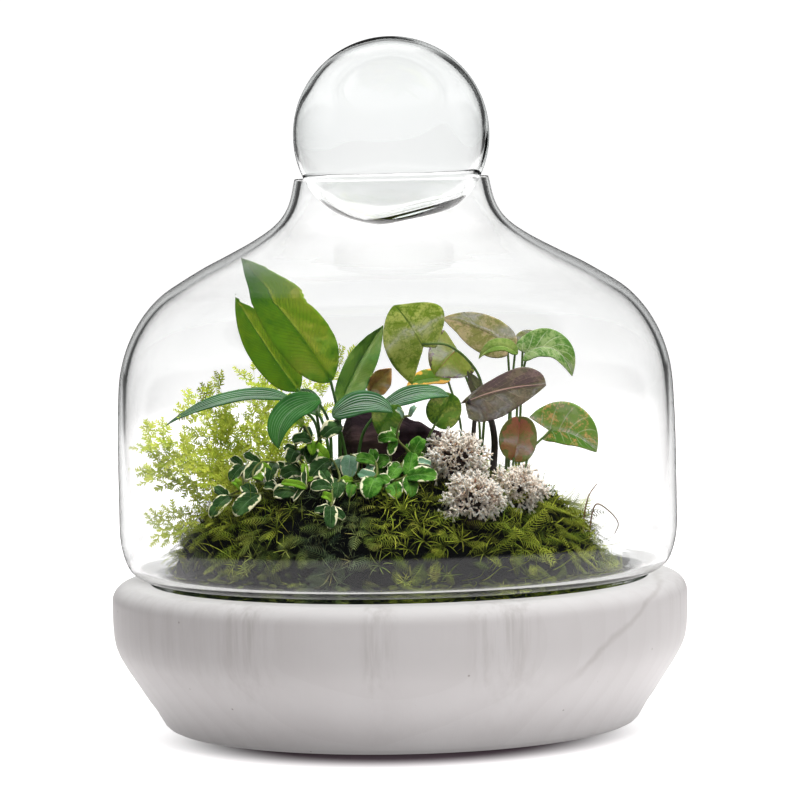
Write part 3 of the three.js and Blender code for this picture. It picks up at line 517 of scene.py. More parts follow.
def frond(length, barb, pairs, arch, bend):
    """A flat feather: a thin stem along X that arches and bends, with a curved barb on each side."""
    bm = bmesh.new()
    tips = {}

    def on_stem(share):
        return Vector((
            length * share * (1 - 0.12 * arch * share), bend * length * share * share,
            length * arch * (0.55 * share - 0.75 * share * share),
        ))

    for vert in strip(bm, 4):
        share = vert.co.x + 0.5
        tips[vert] = 0.35 * share
        vert.co = on_stem(share) + Vector((0, vert.co.y * 0.9 * (1.1 - share), 0))
    for i in range(pairs):
        share = (i + 0.7) / (pairs + 0.4)
        foot = on_stem(share)
        forward = (on_stem(share + 0.02) - foot).normalized()
        reach = barb * (0.42 + 1.05 * share) if share < 0.4 else barb * (1.25 - 1.08 * share) / 0.82
        for side in (-1, 1):
            across = Vector((-forward.y, forward.x, 0)).normalized() * side
            for vert in strip(bm, 3):
                out = vert.co.x + 0.5
                width = vert.co.y * (0.62, 0.66, 0.5, 0.1)[round(out * 3)]
                tips[vert] = 0.35 * share + 0.65 * out
                vert.co = (
                    foot + across * reach * out * (1 - 0.22 * out)
                    + forward * reach * (0.25 * out + 0.75 * out * out)
                    + forward * width - Vector((0, 0, reach * 0.34 * out * out))
                )
    return small_shape("frond", bm, tips)


def strand(length, curl, width):
    bm = bmesh.new()
    wire = strip(bm, 9)
    for vert in wire:
        share = vert.co.x + 0.5
        turn = curl * share ** 1.6
        vert.co = Vector((
            length * (share - 0.25 * curl * share ** 3 / 3), length * 0.14 * math.sin(turn * 1.7),
            length * 0.3 * math.sin(turn),
        )) + Vector((0, vert.co.y * width * (1.15 - share), 0))
    return small_shape("strand", bm, dict.fromkeys(wire, 0.5))


def tuft(blades, length):
    """A star of thin curved leaflets that rise from one foot and bend over."""
    bm = bmesh.new()
    tips = {}
    for i in range(blades):
        turn = 2 * math.pi * (i + 0.5 * drawn(i + length)) / blades
        reach = length * (0.7 + 0.45 * drawn(i * 3 + length))
        way = Vector((math.cos(turn), math.sin(turn), 0))
        lift = 0.5 + 0.5 * drawn(i * 5 + length)
        for vert in strip(bm, 4):
            out = vert.co.x + 0.5
            width = vert.co.y * (0.42, 0.6, 0.55, 0.4, 0.08)[round(out * 4)]
            tips[vert] = out
            vert.co = (
                way * reach * (0.2 * out + 0.8 * out * out)
                + Vector((-way.y, way.x, 0)) * (width + 0.16 * reach * math.sin(2.6 * out + i))
                + Vector((0, 0, reach * lift * (1.3 * out - 0.75 * out * out)))
            )
    return small_shape("tuft", bm, tips)


def standing(foot, forward, up, size):
    forward = forward.normalized()
    side = up.cross(forward).normalized()
    turn = Matrix((forward, side, forward.cross(side))).transposed().to_4x4()
    return Matrix.Translation(foot * MM) @ turn @ Matrix.Scale(size, 4)


def grown(name, copies, material):
    """One piece from many small shapes, each with its own place and shade."""
    bm = bmesh.new()
    growth = []
    for (mesh, nearness), place, shade in copies:
        copy = mesh.copy()
        copy.transform(place)
        bm.from_mesh(copy)
        bpy.data.meshes.remove(copy)
        for tip in nearness:
            growth.extend((shade, tip, 0, 1))
    piece = finished(name, bm)
    colours = piece.data.color_attributes.new("growth", "FLOAT_COLOR", "POINT")
    colours.data.foreach_set("color", growth)
    piece.data.materials.append(material)
    return piece


def growth_of(tree):
    """What grown() wrote for each point: the copy's shade, how near a tip it is, and, on the moss, how far it
    stands clear of the mat, which sets its painted shade.
    """
    growth = add(tree, "Attribute", attribute_name="growth").outputs["Color"]
    return add(tree, "SeparateColor", {"Color": growth}).outputs


def kept_inside(piece, foot_radius, wall_radius):
    for vert in piece.data.vertices:
        height = vert.co.z / MM
        limit = min(foot_radius + 0.9 * max(height - mound_foot, 0), wall_radius) * MM
        radius = vert.co.xy.length
        if radius > limit:
            vert.co.x *= limit / radius
            vert.co.y *= limit / radius


bm = bmesh.new()
bmesh.ops.create_grid(bm, x_segments=150, y_segments=150, size=1)
for vert in bm.verts:
    x, y = vert.co.x, vert.co.y
    x, y = moss_radius * x * math.sqrt(1 - y * y / 2), moss_radius * y * math.sqrt(1 - x * x / 2)
    vert.co = Vector((x, y, max(moss_low, mound_height(x, y) - 8.6)))
raised = bmesh.ops.extrude_face_region(bm, geom=bm.faces[:], use_keep_orig=True)
for vert in raised["geom"]:
    if isinstance(vert, bmesh.types.BMVert):
        x, y, _ = vert.co
        lump = noise.fractal(Vector((x, y, 0)) / 9, 0.7, 2.2, 4) * 1.8
        vert.co.z = moss_height(x, y) + lump * min((mound_height(x, y) - 80) / 12, 1) - 0.6
bmesh.ops.recalc_face_normals(bm, faces=bm.faces)
to_metres(bm)
moss_mat = finished("moss_mat", bm)

# Painted shade: the mat is near black, partly the moss's own dark underlayer and partly the shade deep among
# the fronds.
moss_mat_painted_shade, tree, surface = shader("moss_mat")
fibres = cloud(tree, add(tree, "TexCoord").outputs["Object"], 520, Detail=5, Roughness=0.7)
fill(tree, surface, {
    "Base Color": blend(tree, fibres, paint(3, 3, 8), paint(13, 16, 13)),
    "Normal": bumps(tree, fibres, 1, 0.0015), "Roughness": 0.95, "Specular IOR Level": 0.03,
})
moss_mat.data.materials.append(moss_mat_painted_shade)
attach(moss_mat, "root")
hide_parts("moss_mound")

moss_frond, tree, surface = shader("moss_frond")
growth = growth_of(tree)
place = add(tree, "TexCoord").outputs["Object"]
# Painted shade: fronds about 48 mm left of the middle, in the fig leaves' shade, take cooler, darker greens.
from_shade = maths(tree, "ABSOLUTE", maths(tree, "ADD", parts_of(tree, place)["X"], 0.048))
from_shade = maths(tree, "MULTIPLY_ADD", cloud(tree, place, 22, Detail=2), 0.12, from_shade)
clear_of_fig_shade = ramp(tree, from_shade, 0.06, 0.09)
tint = cloud(tree, place, 95, Detail=1)
bright = blend(tree, clear_of_fig_shade, paint(156, 174, 120), paint(228, 238, 88))
bright = blend(tree, ramp(tree, tint, 0.56, 0.74, high=0.75), bright, paint(196, 170, 96))
bright = blend(tree, ramp(tree, tint, 0.44, 0.26, high=0.8), bright, paint(130, 172, 60))
lit = maths(tree, "MULTIPLY", growth["Red"], growth["Green"])
tone = blend(tree, lit, blend(tree, clear_of_fig_shade, paint(44, 60, 46), paint(72, 88, 22)), bright)
# Painted shade: points low by the mat turn near black.
tone = blend(tree, ramp(tree, growth["Blue"], 0.0, 1.0, smooth=True), paint(5, 6, 8), tone)
fill(tree, surface, {"Base Color": tone, "Roughness": 0.6, "Specular IOR Level": 0.08})


def moss_cover(x, y):
    """How thickly the fronds stand: thin in the hollows, and thin in the shade of the fig leaves and the
    lichens, where the dark mat shows through as painted shade.
    """
    hollow = noise.fractal(Vector((x, y, 0)) / 15 + Vector((5, 2, 0)), 0.8, 2.1, 2)
    left_shade = math.exp(-((x + 48) / 26) ** 2 - ((y + 85) / 36) ** 2)
    right_shade = math.exp(-((x - 42) / 20) ** 2 - ((y + 100) / 16) ** 2)
    return 0.66 + 0.75 * hollow - 0.25 * (left_shade + 1.6 * right_shade)


def scattered(dice, reach, crowding):
    """A place on the mound: its distance from the middle, and its X and Y."""
    radius = reach * dice.random() ** crowding
    turn = dice.uniform(-math.pi, math.pi)
    return radius, radius * math.cos(turn), radius * math.sin(turn)


def jolt(dice, x, y, z):
    return Vector((dice.gauss(0, x), dice.gauss(0, y), dice.gauss(0, z)))


fronds = [
    frond(22, 6.8, 12, 0.35, 0.14), frond(18, 6.2, 10, 0.60, -0.20), frond(26, 7.2, 13, 0.22, 0.25),
    frond(15, 5.6, 9, 0.80, 0.08),
]
strands = [strand(20, 2.4, 0.5), strand(14, 3.4, 0.5), strand(25, 1.7, 0.5)]
tufts = [tuft(9, 8), tuft(7, 10), tuft(8, 6.5)]

dice = random.Random(11)
sheets = [[], [], []]
for i in range(frond_count):
    radius, x, y = scattered(dice, fronds_reach, 0.42)
    if dice.random() > moss_cover(x, y):
        continue
    up = moss_slope(x, y)
    outward = Vector((x, y, 0)).normalized()
    heading = Matrix.Rotation(dice.gauss(0, 0.9), 3, up) @ (outward - up * outward.dot(up)).normalized()
    rise = dice.uniform(0.2, 0.95)
    at_edge = radius > edge_from
    if at_edge:
        heading = Matrix.Rotation(math.copysign(1.3, dice.random() - 0.5), 3, up) @ heading
    size = dice.uniform(0.65, 1.0) * (0.8 if at_edge else 1)
    place = standing(in_moss(x, y, 1.5), heading + up * rise, up + outward * 0.3, size)
    sheets[i % 3].append((fronds[dice.randrange(4)], place, dice.random() ** 1.3))
for i in range(strand_count):
    _, x, y = scattered(dice, strands_reach, 0.4)
    up = moss_slope(x, y)
    forward = Vector((x, y, 0)).normalized() * dice.uniform(-0.2, 1) + up * dice.uniform(0.3, 1.1)
    forward += Vector((dice.uniform(-0.6, 0.6), dice.uniform(-0.6, 0.6), 0))
    place = standing(in_moss(x, y, 1), forward, up + Vector((0.1, 0.2, 0)), dice.uniform(0.5, 1))
    sheets[i % 3].append((strands[dice.randrange(3)], place, dice.uniform(0.3, 1.2)))
for i in range(tuft_count):
    _, x, y = scattered(dice, tufts_reach, 0.42)
    if dice.random() > moss_cover(x, y):
        continue
    up = (moss_slope(x, y) + jolt(dice, 0.3, 0.3, 0.2)).normalized()
    forward = up.cross(Vector((dice.gauss(0, 1), dice.gauss(0, 1), 0.3)))
    place = standing(in_moss(x, y, 0.5), forward, up, dice.uniform(0.7, 1.15))
    sheets[i % 3].append((tufts[dice.randrange(3)], place, dice.random() ** 1.2))
for i in range(pressed_count):
    turn = dice.uniform(-math.pi, math.pi)
    radius = dice.uniform(116, 125.5)
    x, y = radius * math.cos(turn), radius * math.sin(turn)
    outward = Vector((x, y, 0)).normalized()
    round_it = Vector((-outward.y, outward.x, 0))
    heading = round_it * dice.gauss(0, 0.9) + Vector((0, 0, dice.gauss(-0.35, 0.6)))
    heading += outward * dice.uniform(0.1, 0.6)
    shape = fronds[dice.randrange(4)] if i % 3 else tufts[dice.randrange(3)]
    foot = in_moss(x, y, 2.5) - outward * 1.5
    place = standing(foot, heading, outward + Vector((0, 0, 0.35)), dice.uniform(0.35, 0.62))
    sheets[i % 3].append((shape, place, dice.random() ** 0.6))
for i, copies in enumerate(sheets):
    piece = grown(f"moss_fronds_{i + 1}", copies, moss_frond)
    for vert, colour in zip(piece.data.vertices, piece.data.color_attributes["growth"].data):
        x, y, z = vert.co / MM
        shade, tip, _, _ = colour.color
        # Painted shade: the third number is how far a point stands clear of the mat, or out past the mound's
        # edge; nearer the mat the fronds are painted darker.
        clear = max(z - moss_height(x, y) + 0.5, 2.5 * (math.hypot(x, y) - 119))
        colour.color = (shade, tip, min(max(clear / painted_shade_height, 0), 1), 1)
    kept_inside(piece, 126.5, 146)
    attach(piece, "root")
    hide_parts("moss_mound")

# Driftwood. A short dark log of washed-up wood lies behind the front plants, sunk a little into the moss. It
# is cracked along its grain, and a knot shows at its right end.
log_centre = Vector((-1.5, -9, 154))
log_length, log_height, log_depth = 60, 42, 25
knot_place, knot_size = Vector((15, -9, 8)), 3.2


def wrapped(bm, sides, rows, shape):
    """A grid closed into a skin: shape gives the point for a share along and a share round."""
    skin = bmesh.ops.create_grid(bm, x_segments=sides, y_segments=rows, size=0.5)["verts"]
    for vert in skin:
        vert.co = shape(vert.co.y + 0.5, vert.co.x + 0.5)
    bmesh.ops.remove_doubles(bm, verts=skin, dist=1e-4)


def finished_solid(name, bm):
    """The piece that was drawn in millimetres, with its faces turned outwards."""
    bmesh.ops.recalc_face_normals(bm, faces=bm.faces)
    to_metres(bm)
    return finished(name, bm)


def log_skin(along, round_share):
    turn = 2 * math.pi * round_share
    z = (along - 0.5) * log_length
    girth = min(along * 9, 1) ** 0.5 * max(1 - along, 0) ** 0.34 / 2 * (1.13 - 0.06 * math.sin(9 * along))
    relief = 1 + 0.07 * math.sin(5 * turn + z * 0.11) + 0.04 * math.sin(z * 0.5)
    across, down = girth * relief * math.sin(turn), girth * relief * math.cos(turn)
    point = Vector((z, across * log_depth, -down * log_height))
    grain = noise.fractal(Vector((z / 26, 9 * math.cos(turn) / 3, 9 * math.sin(turn) / 3)), 0.6, 2.1, 5)
    from_knot = (point - knot_place).length
    hollow, ring = math.exp(-(from_knot / knot_size) ** 2), math.exp(-((from_knot - 5) / 1.8) ** 2)
    lift = 1.1 * grain * min(2 * girth, 1) - 1.8 * hollow + 1.3 * ring
    outward = Vector((0, math.sin(turn), -math.cos(turn)))
    return log_centre + point + outward * (lift - 0.5)


bm = bmesh.new()
wrapped(bm, 120, 90, log_skin)
driftwood = finished_solid("dark_driftwood", bm)
bark, tree, surface = shader("bark")
place = add(tree, "TexCoord").outputs["Object"]
stretched = mapped(tree, place, Rotation=(0, 0.2, 0), Scale=(0.16, 1, 1))
grain = cloud(tree, stretched, 420, Detail=6, Roughness=0.65, Distortion=0.6)
stain = ramp(tree, cloud(tree, place, 60, Detail=3), 0.5, 0.75)
tone = blend(tree, stain, blend(tree, grain, paint(10, 7, 12), paint(58, 42, 48)), paint(84, 66, 64))
fill(tree, surface, {
    "Base Color": tone, "Normal": bumps(tree, grain, 1, 0.0012), "Roughness": 0.7, "Specular IOR Level": 0.15,
})
driftwood.data.materials.append(bark)
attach(driftwood, "root")
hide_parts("driftwood")

# Lichen. Three heads of dried reindeer lichen are pressed into the moss at the right front. Each is a cushion
# of short branches that fork and fork again, pale at their blunt tips, round a core that is painted dark as
# the shade inside the cushion.
lichen_heads = [
    ("lichen_clump_1", (32, -45, 149.5), 20, 0.85), ("lichen_clump_2", (40, -84, 131), 18, 0.78),
    ("lichen_clump_3", (65, -52, 133), 14.5, 0.9),
]
branch_count, branch_turn = 170, 2.39996
core_shade = -1.0


def coral(forks, spread):
    """One branch that stands along X and forks twice."""
    bm = bmesh.new()
    tips = {}

    def limb(start, end, thick, thin, tip_start, tip_end):
        along = end - start
        turn = along.to_track_quat("Z", "Y").to_matrix().to_4x4()
        made = bmesh.ops.create_cone(
            bm, cap_ends=True, segments=3, radius1=thick, radius2=thin, depth=along.length,
            matrix=Matrix.Translation((start + end) / 2) @ turn,
        )["verts"]
        for vert in made:
            tips[vert] = tip_start if (vert.co - start).length < (vert.co - end).length else tip_end

    limb(Vector((0, 0, 0)), Vector((4.2, 0, 0)), 0.75, 0.6, 0, 0.45)
    for i in range(forks):
        turn = 2 * math.pi * (i + 0.3 * drawn(i + spread)) / forks
        lean = Vector((1, spread * math.cos(turn), spread * math.sin(turn))).normalized()
        joint = Vector((3.6, 0, 0)) + lean * (2.6 + drawn(i + 2 * spread))
        limb(Vector((3.7, 0, 0)), joint, 0.58, 0.5, 0.4, 0.75)
        for j in (-1, 0, 1):
            side = lean.cross(Vector((0, math.sin(turn * 2 + j), math.cos(turn * 2 + j)))).normalized()
            end = joint + (lean + side * (0.75 if j else 0.1) * (j or 1)).normalized() * 1.9
            limb(joint - lean * 0.3, end, 0.46, 0.28, 0.7, 1)
    return small_shape("coral", bm, tips)


lichen, tree, surface = shader("lichen")
growth = growth_of(tree)
pale = blend(tree, growth["Red"], paint(254, 228, 204), paint(255, 242, 224))
tone = blend(tree, ramp(tree, growth["Green"], 0.06, 0.5), paint(168, 138, 122), pale)
# Painted shade: the core is dark, as the shade inside the head.
tone = blend(tree, maths(tree, "LESS_THAN", growth["Red"], 0.0), tone, paint(50, 38, 34))
dust = cloud(tree, add(tree, "TexCoord").outputs["Object"], 1500, Detail=2)
fill(tree, surface, {
    "Base Color": tone, "Normal": bumps(tree, dust, 0.6, 0.0003), "Roughness": 0.9, "Subsurface Weight": 0.85,
    "Subsurface Radius": (1.0, 0.85, 0.75), "Subsurface Scale": 0.0022,
})

corals = [coral(3, 0.85), coral(4, 0.7), coral(3, 1.1)]
for number, (node, centre, radius, squash) in enumerate(lichen_heads):
    dice = random.Random(40 + number)
    middle = Vector(centre)
    copies = []
    for i in range(branch_count):
        height = 1 - 1.62 * (i + 0.5) / branch_count
        turn = i * branch_turn + number
        ring = math.sqrt(max(1 - height * height, 0))
        out = Vector((ring * math.cos(turn), ring * math.sin(turn), height * squash))
        out = (out + jolt(dice, 0.16, 0.16, 0.16)).normalized()
        bulge = 1 + 0.45 * noise.noise(out * 2.3 + Vector((number * 7, 0, 0)))
        deep = dice.choice((0.28, 0.42, 0.48, 0.54)) * bulge
        foot = middle + out * radius * deep
        if foot.z < moss_height(foot.x, foot.y) - 2:
            continue
        up = out.cross(Vector((dice.uniform(-1, 1), dice.uniform(-1, 1), dice.uniform(-1, 1)))).normalized()
        copies.append((corals[i % 3], standing(foot, out, up, dice.uniform(0.82, 1.1)), dice.random()))
    low = moss_height(*middle.xy) - 4
    high = middle.z + 0.58 * radius * squash
    bm = bmesh.new()
    bmesh.ops.create_icosphere(bm, subdivisions=3, radius=0.5 * radius)
    bmesh.ops.scale(bm, verts=bm.verts, vec=(1, 1, (high - low) / radius))
    for vert in bm.verts:
        vert.co += vert.co.normalized() * noise.noise(vert.co / 4) * 1.6
    seat = Matrix.Translation(Vector((centre[0], centre[1], (low + high) / 2)) * MM)
    copies.append((small_shape("core", bm, {}), seat, core_shade))
    head = grown(f"lichen_head_{number + 1}", copies, lichen)
    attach(head, "root")
    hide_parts(node)

# Peace lily. It grows from one crown at the left: long pointed blades with a sunken midrib and fine side
# veins that run up to the tip, each on its own grooved stalk.
leaf_outlines = {
    "lance": (0.1, 0.66), "arrow": (0.06, 0.6), "oval": (0.0, 0.98), "broad": (0.28, 0.78),
    "late": (0.8, 0.95),
}
lily_leaves = [
    dict(root=(-31, -22), via=[(-32, -26, 175)], base=(-35, -30, 194), mid=(-56, -36, 227),
         tip=(-82, -30, 260), face=(0.25, -0.95, 0.2), width=16, fold=0.12, wave=0.8, finish="lily_leaf"),
    dict(root=(-37, -5), via=[(-42, -3, 172)], base=(-54, 0, 187), mid=(-72, 4, 213), tip=(-88, 8, 242),
         face=(0.2, -0.95, 0.3), width=12, fold=0.12, wave=0.6, finish="lily_leaf"),
    dict(root=(-32, 10), via=[(-32, 11, 160)], base=(-31, 12, 176), mid=(-21, 14, 199), tip=(-6, 16, 223),
         face=(0.6, -0.75, 0.2), width=10, fold=0.2, wave=0.5, finish="lily_leaf"),
    dict(root=(-43, -12), via=[(-45, -13, 170)], base=(-58, -15, 183), mid=(-90, -11, 184),
         tip=(-128, -5, 170), face=(0.05, -0.4, 0.92), width=7.5, fold=0.2, finish="lily_leaf_dark"),
    dict(root=(-36, -36), via=[(-37, -40, 172)], base=(-41, -45, 185), mid=(-59.5, -53, 177),
         tip=(-64, -62, 160), face=(-0.5, -0.75, 0.45), width=10, fold=0.12, finish="lily_leaf_dark"),
    dict(root=(-27, -34), via=[(-30, -40, 164)], base=(-35, -48, 176), mid=(-18, -56, 183),
         tip=(-2, -63, 178.5), face=(0.1, -0.72, 0.68), width=9, fold=0.06, finish="lily_leaf_dark"),
    dict(root=(-22, -27), via=[(-18, -28, 165)], base=(-9, -30, 178), mid=(11, -36, 186), tip=(29, -39, 185),
         face=(0, -0.6, 0.8), width=7.5, fold=0.1, finish="lily_leaf_dark"),
    dict(root=(-42, -24), via=[(-42, -26, 162)], base=(-43, -33, 176), mid=(-47, -34, 184),
         tip=(-52, -33, 190), face=(0.3, -0.9, 0.3), width=5, finish="lily_leaf_dark"),
]


def midrib(leaf):
    """The leaf's length, and the point, left and up directions at each distance along its midrib."""
    base, mid, tip = Vector(leaf["base"]), Vector(leaf["mid"]), Vector(leaf["tip"])
    pull = 2 * mid - 0.5 * base - 0.5 * tip
    length = (mid - base).length + (tip - mid).length
    face = Vector(leaf["face"]).normalized()

    def frame_at(along):
        share = min(max(along / length, 0), 1)
        rest = 1 - share
        forward = (rest * (pull - base) + share * (tip - pull)).normalized()
        left = face.cross(forward).normalized()
        point = rest * rest * base + 2 * rest * share * pull + share * share * tip
        return point + forward * (along - share * length), left, forward.cross(left)

    return length, frame_at


def leaf_edge(leaf, share, side, length):
    shoulder, waist = leaf_outlines[leaf.get(side + "_outline", leaf.get("outline", "lance"))]
    width, back, out = leaf.get(side, (leaf.get("width"), 0, 0))
    out = max(out, 0.5)
    rest = 1 - share
    first, second, third, fourth = rest ** 3, 3 * rest ** 2 * share, 3 * rest * share ** 2, share ** 3
    along = -back * first + shoulder * length * second + waist * length * third + length * fourth
    full = (width - out / 8) * 4 / 3
    return along, out * first + full * (second + third) + 0.25 * fourth, width


def blade(bm, leaf, rows=36, columns=18, thickness=0.55):
    """A grid bent onto the midrib, folded, cupped and waved, then given an even thickness."""
    length, frame_at = midrib(leaf)
    fold, cup, wave = leaf.get("fold", 0.15), leaf.get("cup", 0), leaf.get("wave", 0.25)
    seed = leaf["tip"][0] * 0.37 + leaf["tip"][2]
    bm.loops.layers.uv.verify()
    flat = bmesh.ops.create_grid(bm, x_segments=columns, y_segments=rows, size=0.5, calc_uvs=True)["verts"]
    for vert in flat:
        share, offset = vert.co.y + 0.5, vert.co.x * 2
        reach = abs(offset)
        edge_along, edge_across, width = leaf_edge(leaf, share, "left" if offset < 0 else "right", length)
        along = share * length * (1 - reach) + edge_along * reach
        across = edge_across * reach
        point, left, up = frame_at(along)
        ripple = wave * math.sin(share * 15 + (1 if offset < 0 else 3)) * reach ** 2
        pucker = 0.35 * wave * noise.noise(Vector((across / 4 + seed, along / 4, seed)))
        groove = -0.45 * math.exp(-(across / 0.9) ** 2)
        rise = fold * across + cup * across ** 2 / width + ripple + pucker + groove
        vert.co = point + left * (across if offset < 0 else -across) + up * rise
    faces = list(dict.fromkeys(face for vert in flat for face in vert.link_faces))
    bmesh.ops.solidify(bm, geom=faces, thickness=thickness)


def stalk(bm, points, thick, thin, sides=8, rows=26):
    def skin(along, round_share):
        point = on_path(points, along)
        ahead = (on_path(points, min(along + 0.01, 1)) - on_path(points, max(along - 0.01, 0))).normalized()
        side = ahead.cross(Vector((0.2, 1, 0.1))).normalized()
        turn = 2 * math.pi * round_share
        radius = thick + (thin - thick) * along
        return point + (side * math.cos(turn) + ahead.cross(side) * math.sin(turn)) * radius

    before = set(bm.faces)
    wrapped(bm, sides, rows, skin)
    edges = dict.fromkeys(edge for face in bm.faces if face not in before for edge in face.edges)
    bmesh.ops.holes_fill(bm, edges=[edge for edge in edges if edge.is_boundary], sides=0)


def rooted(root, points, depth=12):
    x, y = root
    height = moss_height(x, y)
    return [Vector((x, y, height - depth)), Vector((x, y, height + 4))] + [Vector(point) for point in points]


leaf_pattern = bpy.data.node_groups.new("leaf_pattern", "ShaderNodeTree")
for socket in ("Blade", "Patch", "Vein", "Margin"):
    leaf_pattern.interface.new_socket(socket, in_out="INPUT", socket_type="NodeSocketColor")
for socket, value in {
    "Patch Size": 60.0, "Patch Share": 0.5, "Vein Count": 12.0, "Vein Slant": 3.0, "Vein Width": 0.2,
    "Vein Strength": 0.5, "Rib Width": 0.06, "Margin Width": 0.0, "Grain": 0.1,
}.items():
    made = leaf_pattern.interface.new_socket(socket, in_out="INPUT", socket_type="NodeSocketFloat")
    made.default_value = value
leaf_pattern.interface.new_socket("Color", in_out="OUTPUT", socket_type="NodeSocketColor")
leaf_pattern.interface.new_socket("Height", in_out="OUTPUT", socket_type="NodeSocketFloat")
tree = leaf_pattern
given = tree.nodes.new("NodeGroupInput").outputs
place = add(tree, "TexCoord").outputs
flat = parts_of(tree, place["UV"])
reach = maths(tree, "MULTIPLY", maths(tree, "ABSOLUTE", maths(tree, "SUBTRACT", flat["X"], 0.5)), 2.0)
slanted = maths(tree, "MULTIPLY", maths(tree, "POWER", reach, 0.8), given["Vein Slant"])
counted = maths(tree, "MULTIPLY", flat["Y"], given["Vein Count"])
cycle = maths(tree, "SUBTRACT", maths(tree, "FRACT", maths(tree, "SUBTRACT", counted, slanted)), 0.5)
nearness = maths(tree, "MULTIPLY", maths(tree, "ABSOLUTE", cycle), 2.0)
side_veins = ramp(tree, nearness, maths(tree, "SUBTRACT", 1.0, given["Vein Width"]), 1.0, smooth=True)
side_veins = maths(tree, "MULTIPLY", side_veins, ramp(tree, reach, 0.97, 0.6))
side_veins = maths(tree, "MULTIPLY", side_veins, given["Vein Strength"])
veins = maths(tree, "MAXIMUM", side_veins, ramp(tree, reach, given["Rib Width"], 0.0, smooth=True))
blotch = cloud(tree, place["Object"], given["Patch Size"], Detail=4, Roughness=0.6)
speck = maths(tree, "SUBTRACT", cloud(tree, place["Object"], 700, Detail=3, Roughness=0.7), 0.5)
speckled = maths(tree, "MULTIPLY_ADD", speck, given["Grain"], blotch)
patch_from = maths(tree, "SUBTRACT", 1.0, given["Patch Share"])
patches = ramp(tree, speckled, maths(tree, "SUBTRACT", patch_from, 0.08), maths(tree, "ADD", patch_from, 0.1))
ragged = maths(tree, "MULTIPLY_ADD", cloud(tree, place["Object"], 170, Detail=3), 1.7, -0.88)
outer = maths(tree, "ADD", maths(tree, "MAXIMUM", reach, ramp(tree, flat["Y"], 0.75, 1.0)), ragged)
margin_from = maths(tree, "SUBTRACT", 1.0, given["Margin Width"])
margins = ramp(tree, outer, margin_from, maths(tree, "ADD", margin_from, 0.06))
margins = maths(tree, "MULTIPLY", margins, maths(tree, "GREATER_THAN", given["Margin Width"], 0.01))
tone = blend(tree, patches, given["Blade"], given["Patch"])
tone = blend(tree, margins, blend(tree, veins, tone, given["Vein"]), given["Margin"])
relief = maths(tree, "MULTIPLY_ADD", blotch, 0.4, maths(tree, "MULTIPLY", veins, -1.0))
fill(tree, tree.nodes.new("NodeGroupOutput"), {"Color": tone, "Height": relief})


def leaf_finish(name, colours, numbers, roughness=0.38, glow=0.35):
    material, tree, surface = shader(name)
    pattern = add(tree, "Group", node_tree=leaf_pattern)
    fill(tree, pattern, {**colours, **numbers})
    fill(tree, surface, {
        "Base Color": pattern.outputs["Color"], "Normal": bumps(tree, pattern.outputs["Height"], 0.7, 0.0004),
        "Roughness": roughness, "Specular IOR Level": 0.25, "Subsurface Weight": glow,
        "Subsurface Radius": (0.8, 1.0, 0.45), "Subsurface Scale": 0.0015,
    })
    return material


def tones(blade_tone, patch, vein, margin=(230, 225, 190)):
    named = {"Blade": blade_tone, "Patch": patch, "Vein": vein, "Margin": margin}
    return {socket: paint(*tone) for socket, tone in named.items()}


def stalk_finish(name, low, high):
    material, tree, surface = shader(name)
    drawn_out = mapped(tree, add(tree, "TexCoord").outputs["Object"], Scale=(1, 1, 0.15))
    fibres = cloud(tree, drawn_out, 500, Detail=3)
    tone = blend(tree, fibres, paint(*low), paint(*high))
    fill(tree, surface, {"Base Color": tone, "Normal": bumps(tree, fibres, 0.5, 0.0004), "Roughness": 0.45})
    return material


def stalked_leaf(name, leaf, blade_material, stalk_material, thick=1.1):
    bm = bmesh.new()
    blade(bm, leaf)
    blade_faces = len(bm.faces)
    _, frame_at = midrib(leaf)
    joint, _, up = frame_at(1.5)
    stalk(bm, rooted(leaf["root"], [*leaf.get("via", []), joint + up * -0.3]), thick, thick * 0.7)
    bm.faces.ensure_lookup_table()
    for face in bm.faces[blade_faces:]:
        face.material_index = 1
    piece = finished_solid(name, bm)
    piece.data.materials.append(blade_material)
    piece.data.materials.append(stalk_material)
    return piece


lily_stalk = stalk_finish("lily_stalk", (40, 74, 34), (96, 140, 66))
# Painted sheen: the pale lengthwise stripes on the darker lily blades are partly their veins and partly the
# sheen along them.
fine_veins, veins_and_painted_sheen, pale_veins_and_painted_sheen = (30.0, 9.0, 0.5, 0.3), (1.2, 5.0, 0.5, 0.75), (1.4, 6.0, 0.35, 0.45)


def veined(count, slant, width, strength, rib=0.05):
    return {"Vein Count": float(count), "Vein Slant": slant, "Vein Width": width, "Vein Strength": strength,
            "Rib Width": rib}


def lily_finish(name, colours, veins, rib, roughness):
    numbers = {**veined(*veins, rib), "Patch Size": 45.0}
    return leaf_finish(name, tones(*colours), numbers, roughness)


# Painted sheen: these blades' pale stripes stand for veins and the sheen along them.
lily_dark = lily_finish(
    "lily_blade_dark", ((38, 84, 44), (58, 112, 60), (216, 228, 218)), veins_and_painted_sheen, 0.03, 0.3
)
lily_finishes = [
    lily_finish("lily_blade_1", ((74, 116, 18), (46, 90, 14), (34, 70, 18)), fine_veins, 0.05, 0.38),
    lily_finish("lily_blade_2", ((74, 114, 18), (52, 92, 16), (32, 66, 18)), fine_veins, 0.05, 0.38),
    lily_finish("lily_blade_3", ((54, 98, 36), (34, 76, 32), (26, 58, 28)), fine_veins, 0.05, 0.38),
    lily_dark,
    lily_finish("lily_blade_mid", ((36, 84, 34), (54, 108, 48), (150, 178, 140)), pale_veins_and_painted_sheen, 0.03, 0.3),
    lily_dark, lily_dark, lily_dark,
]
for number, (leaf, finish) in enumerate(zip(lily_leaves, lily_finishes), start=1):
    piece = stalked_leaf(f"peace_lily_{number}", leaf, finish, lily_stalk)
    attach(piece, "root")
    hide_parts(f"lily_leaf_{number}")

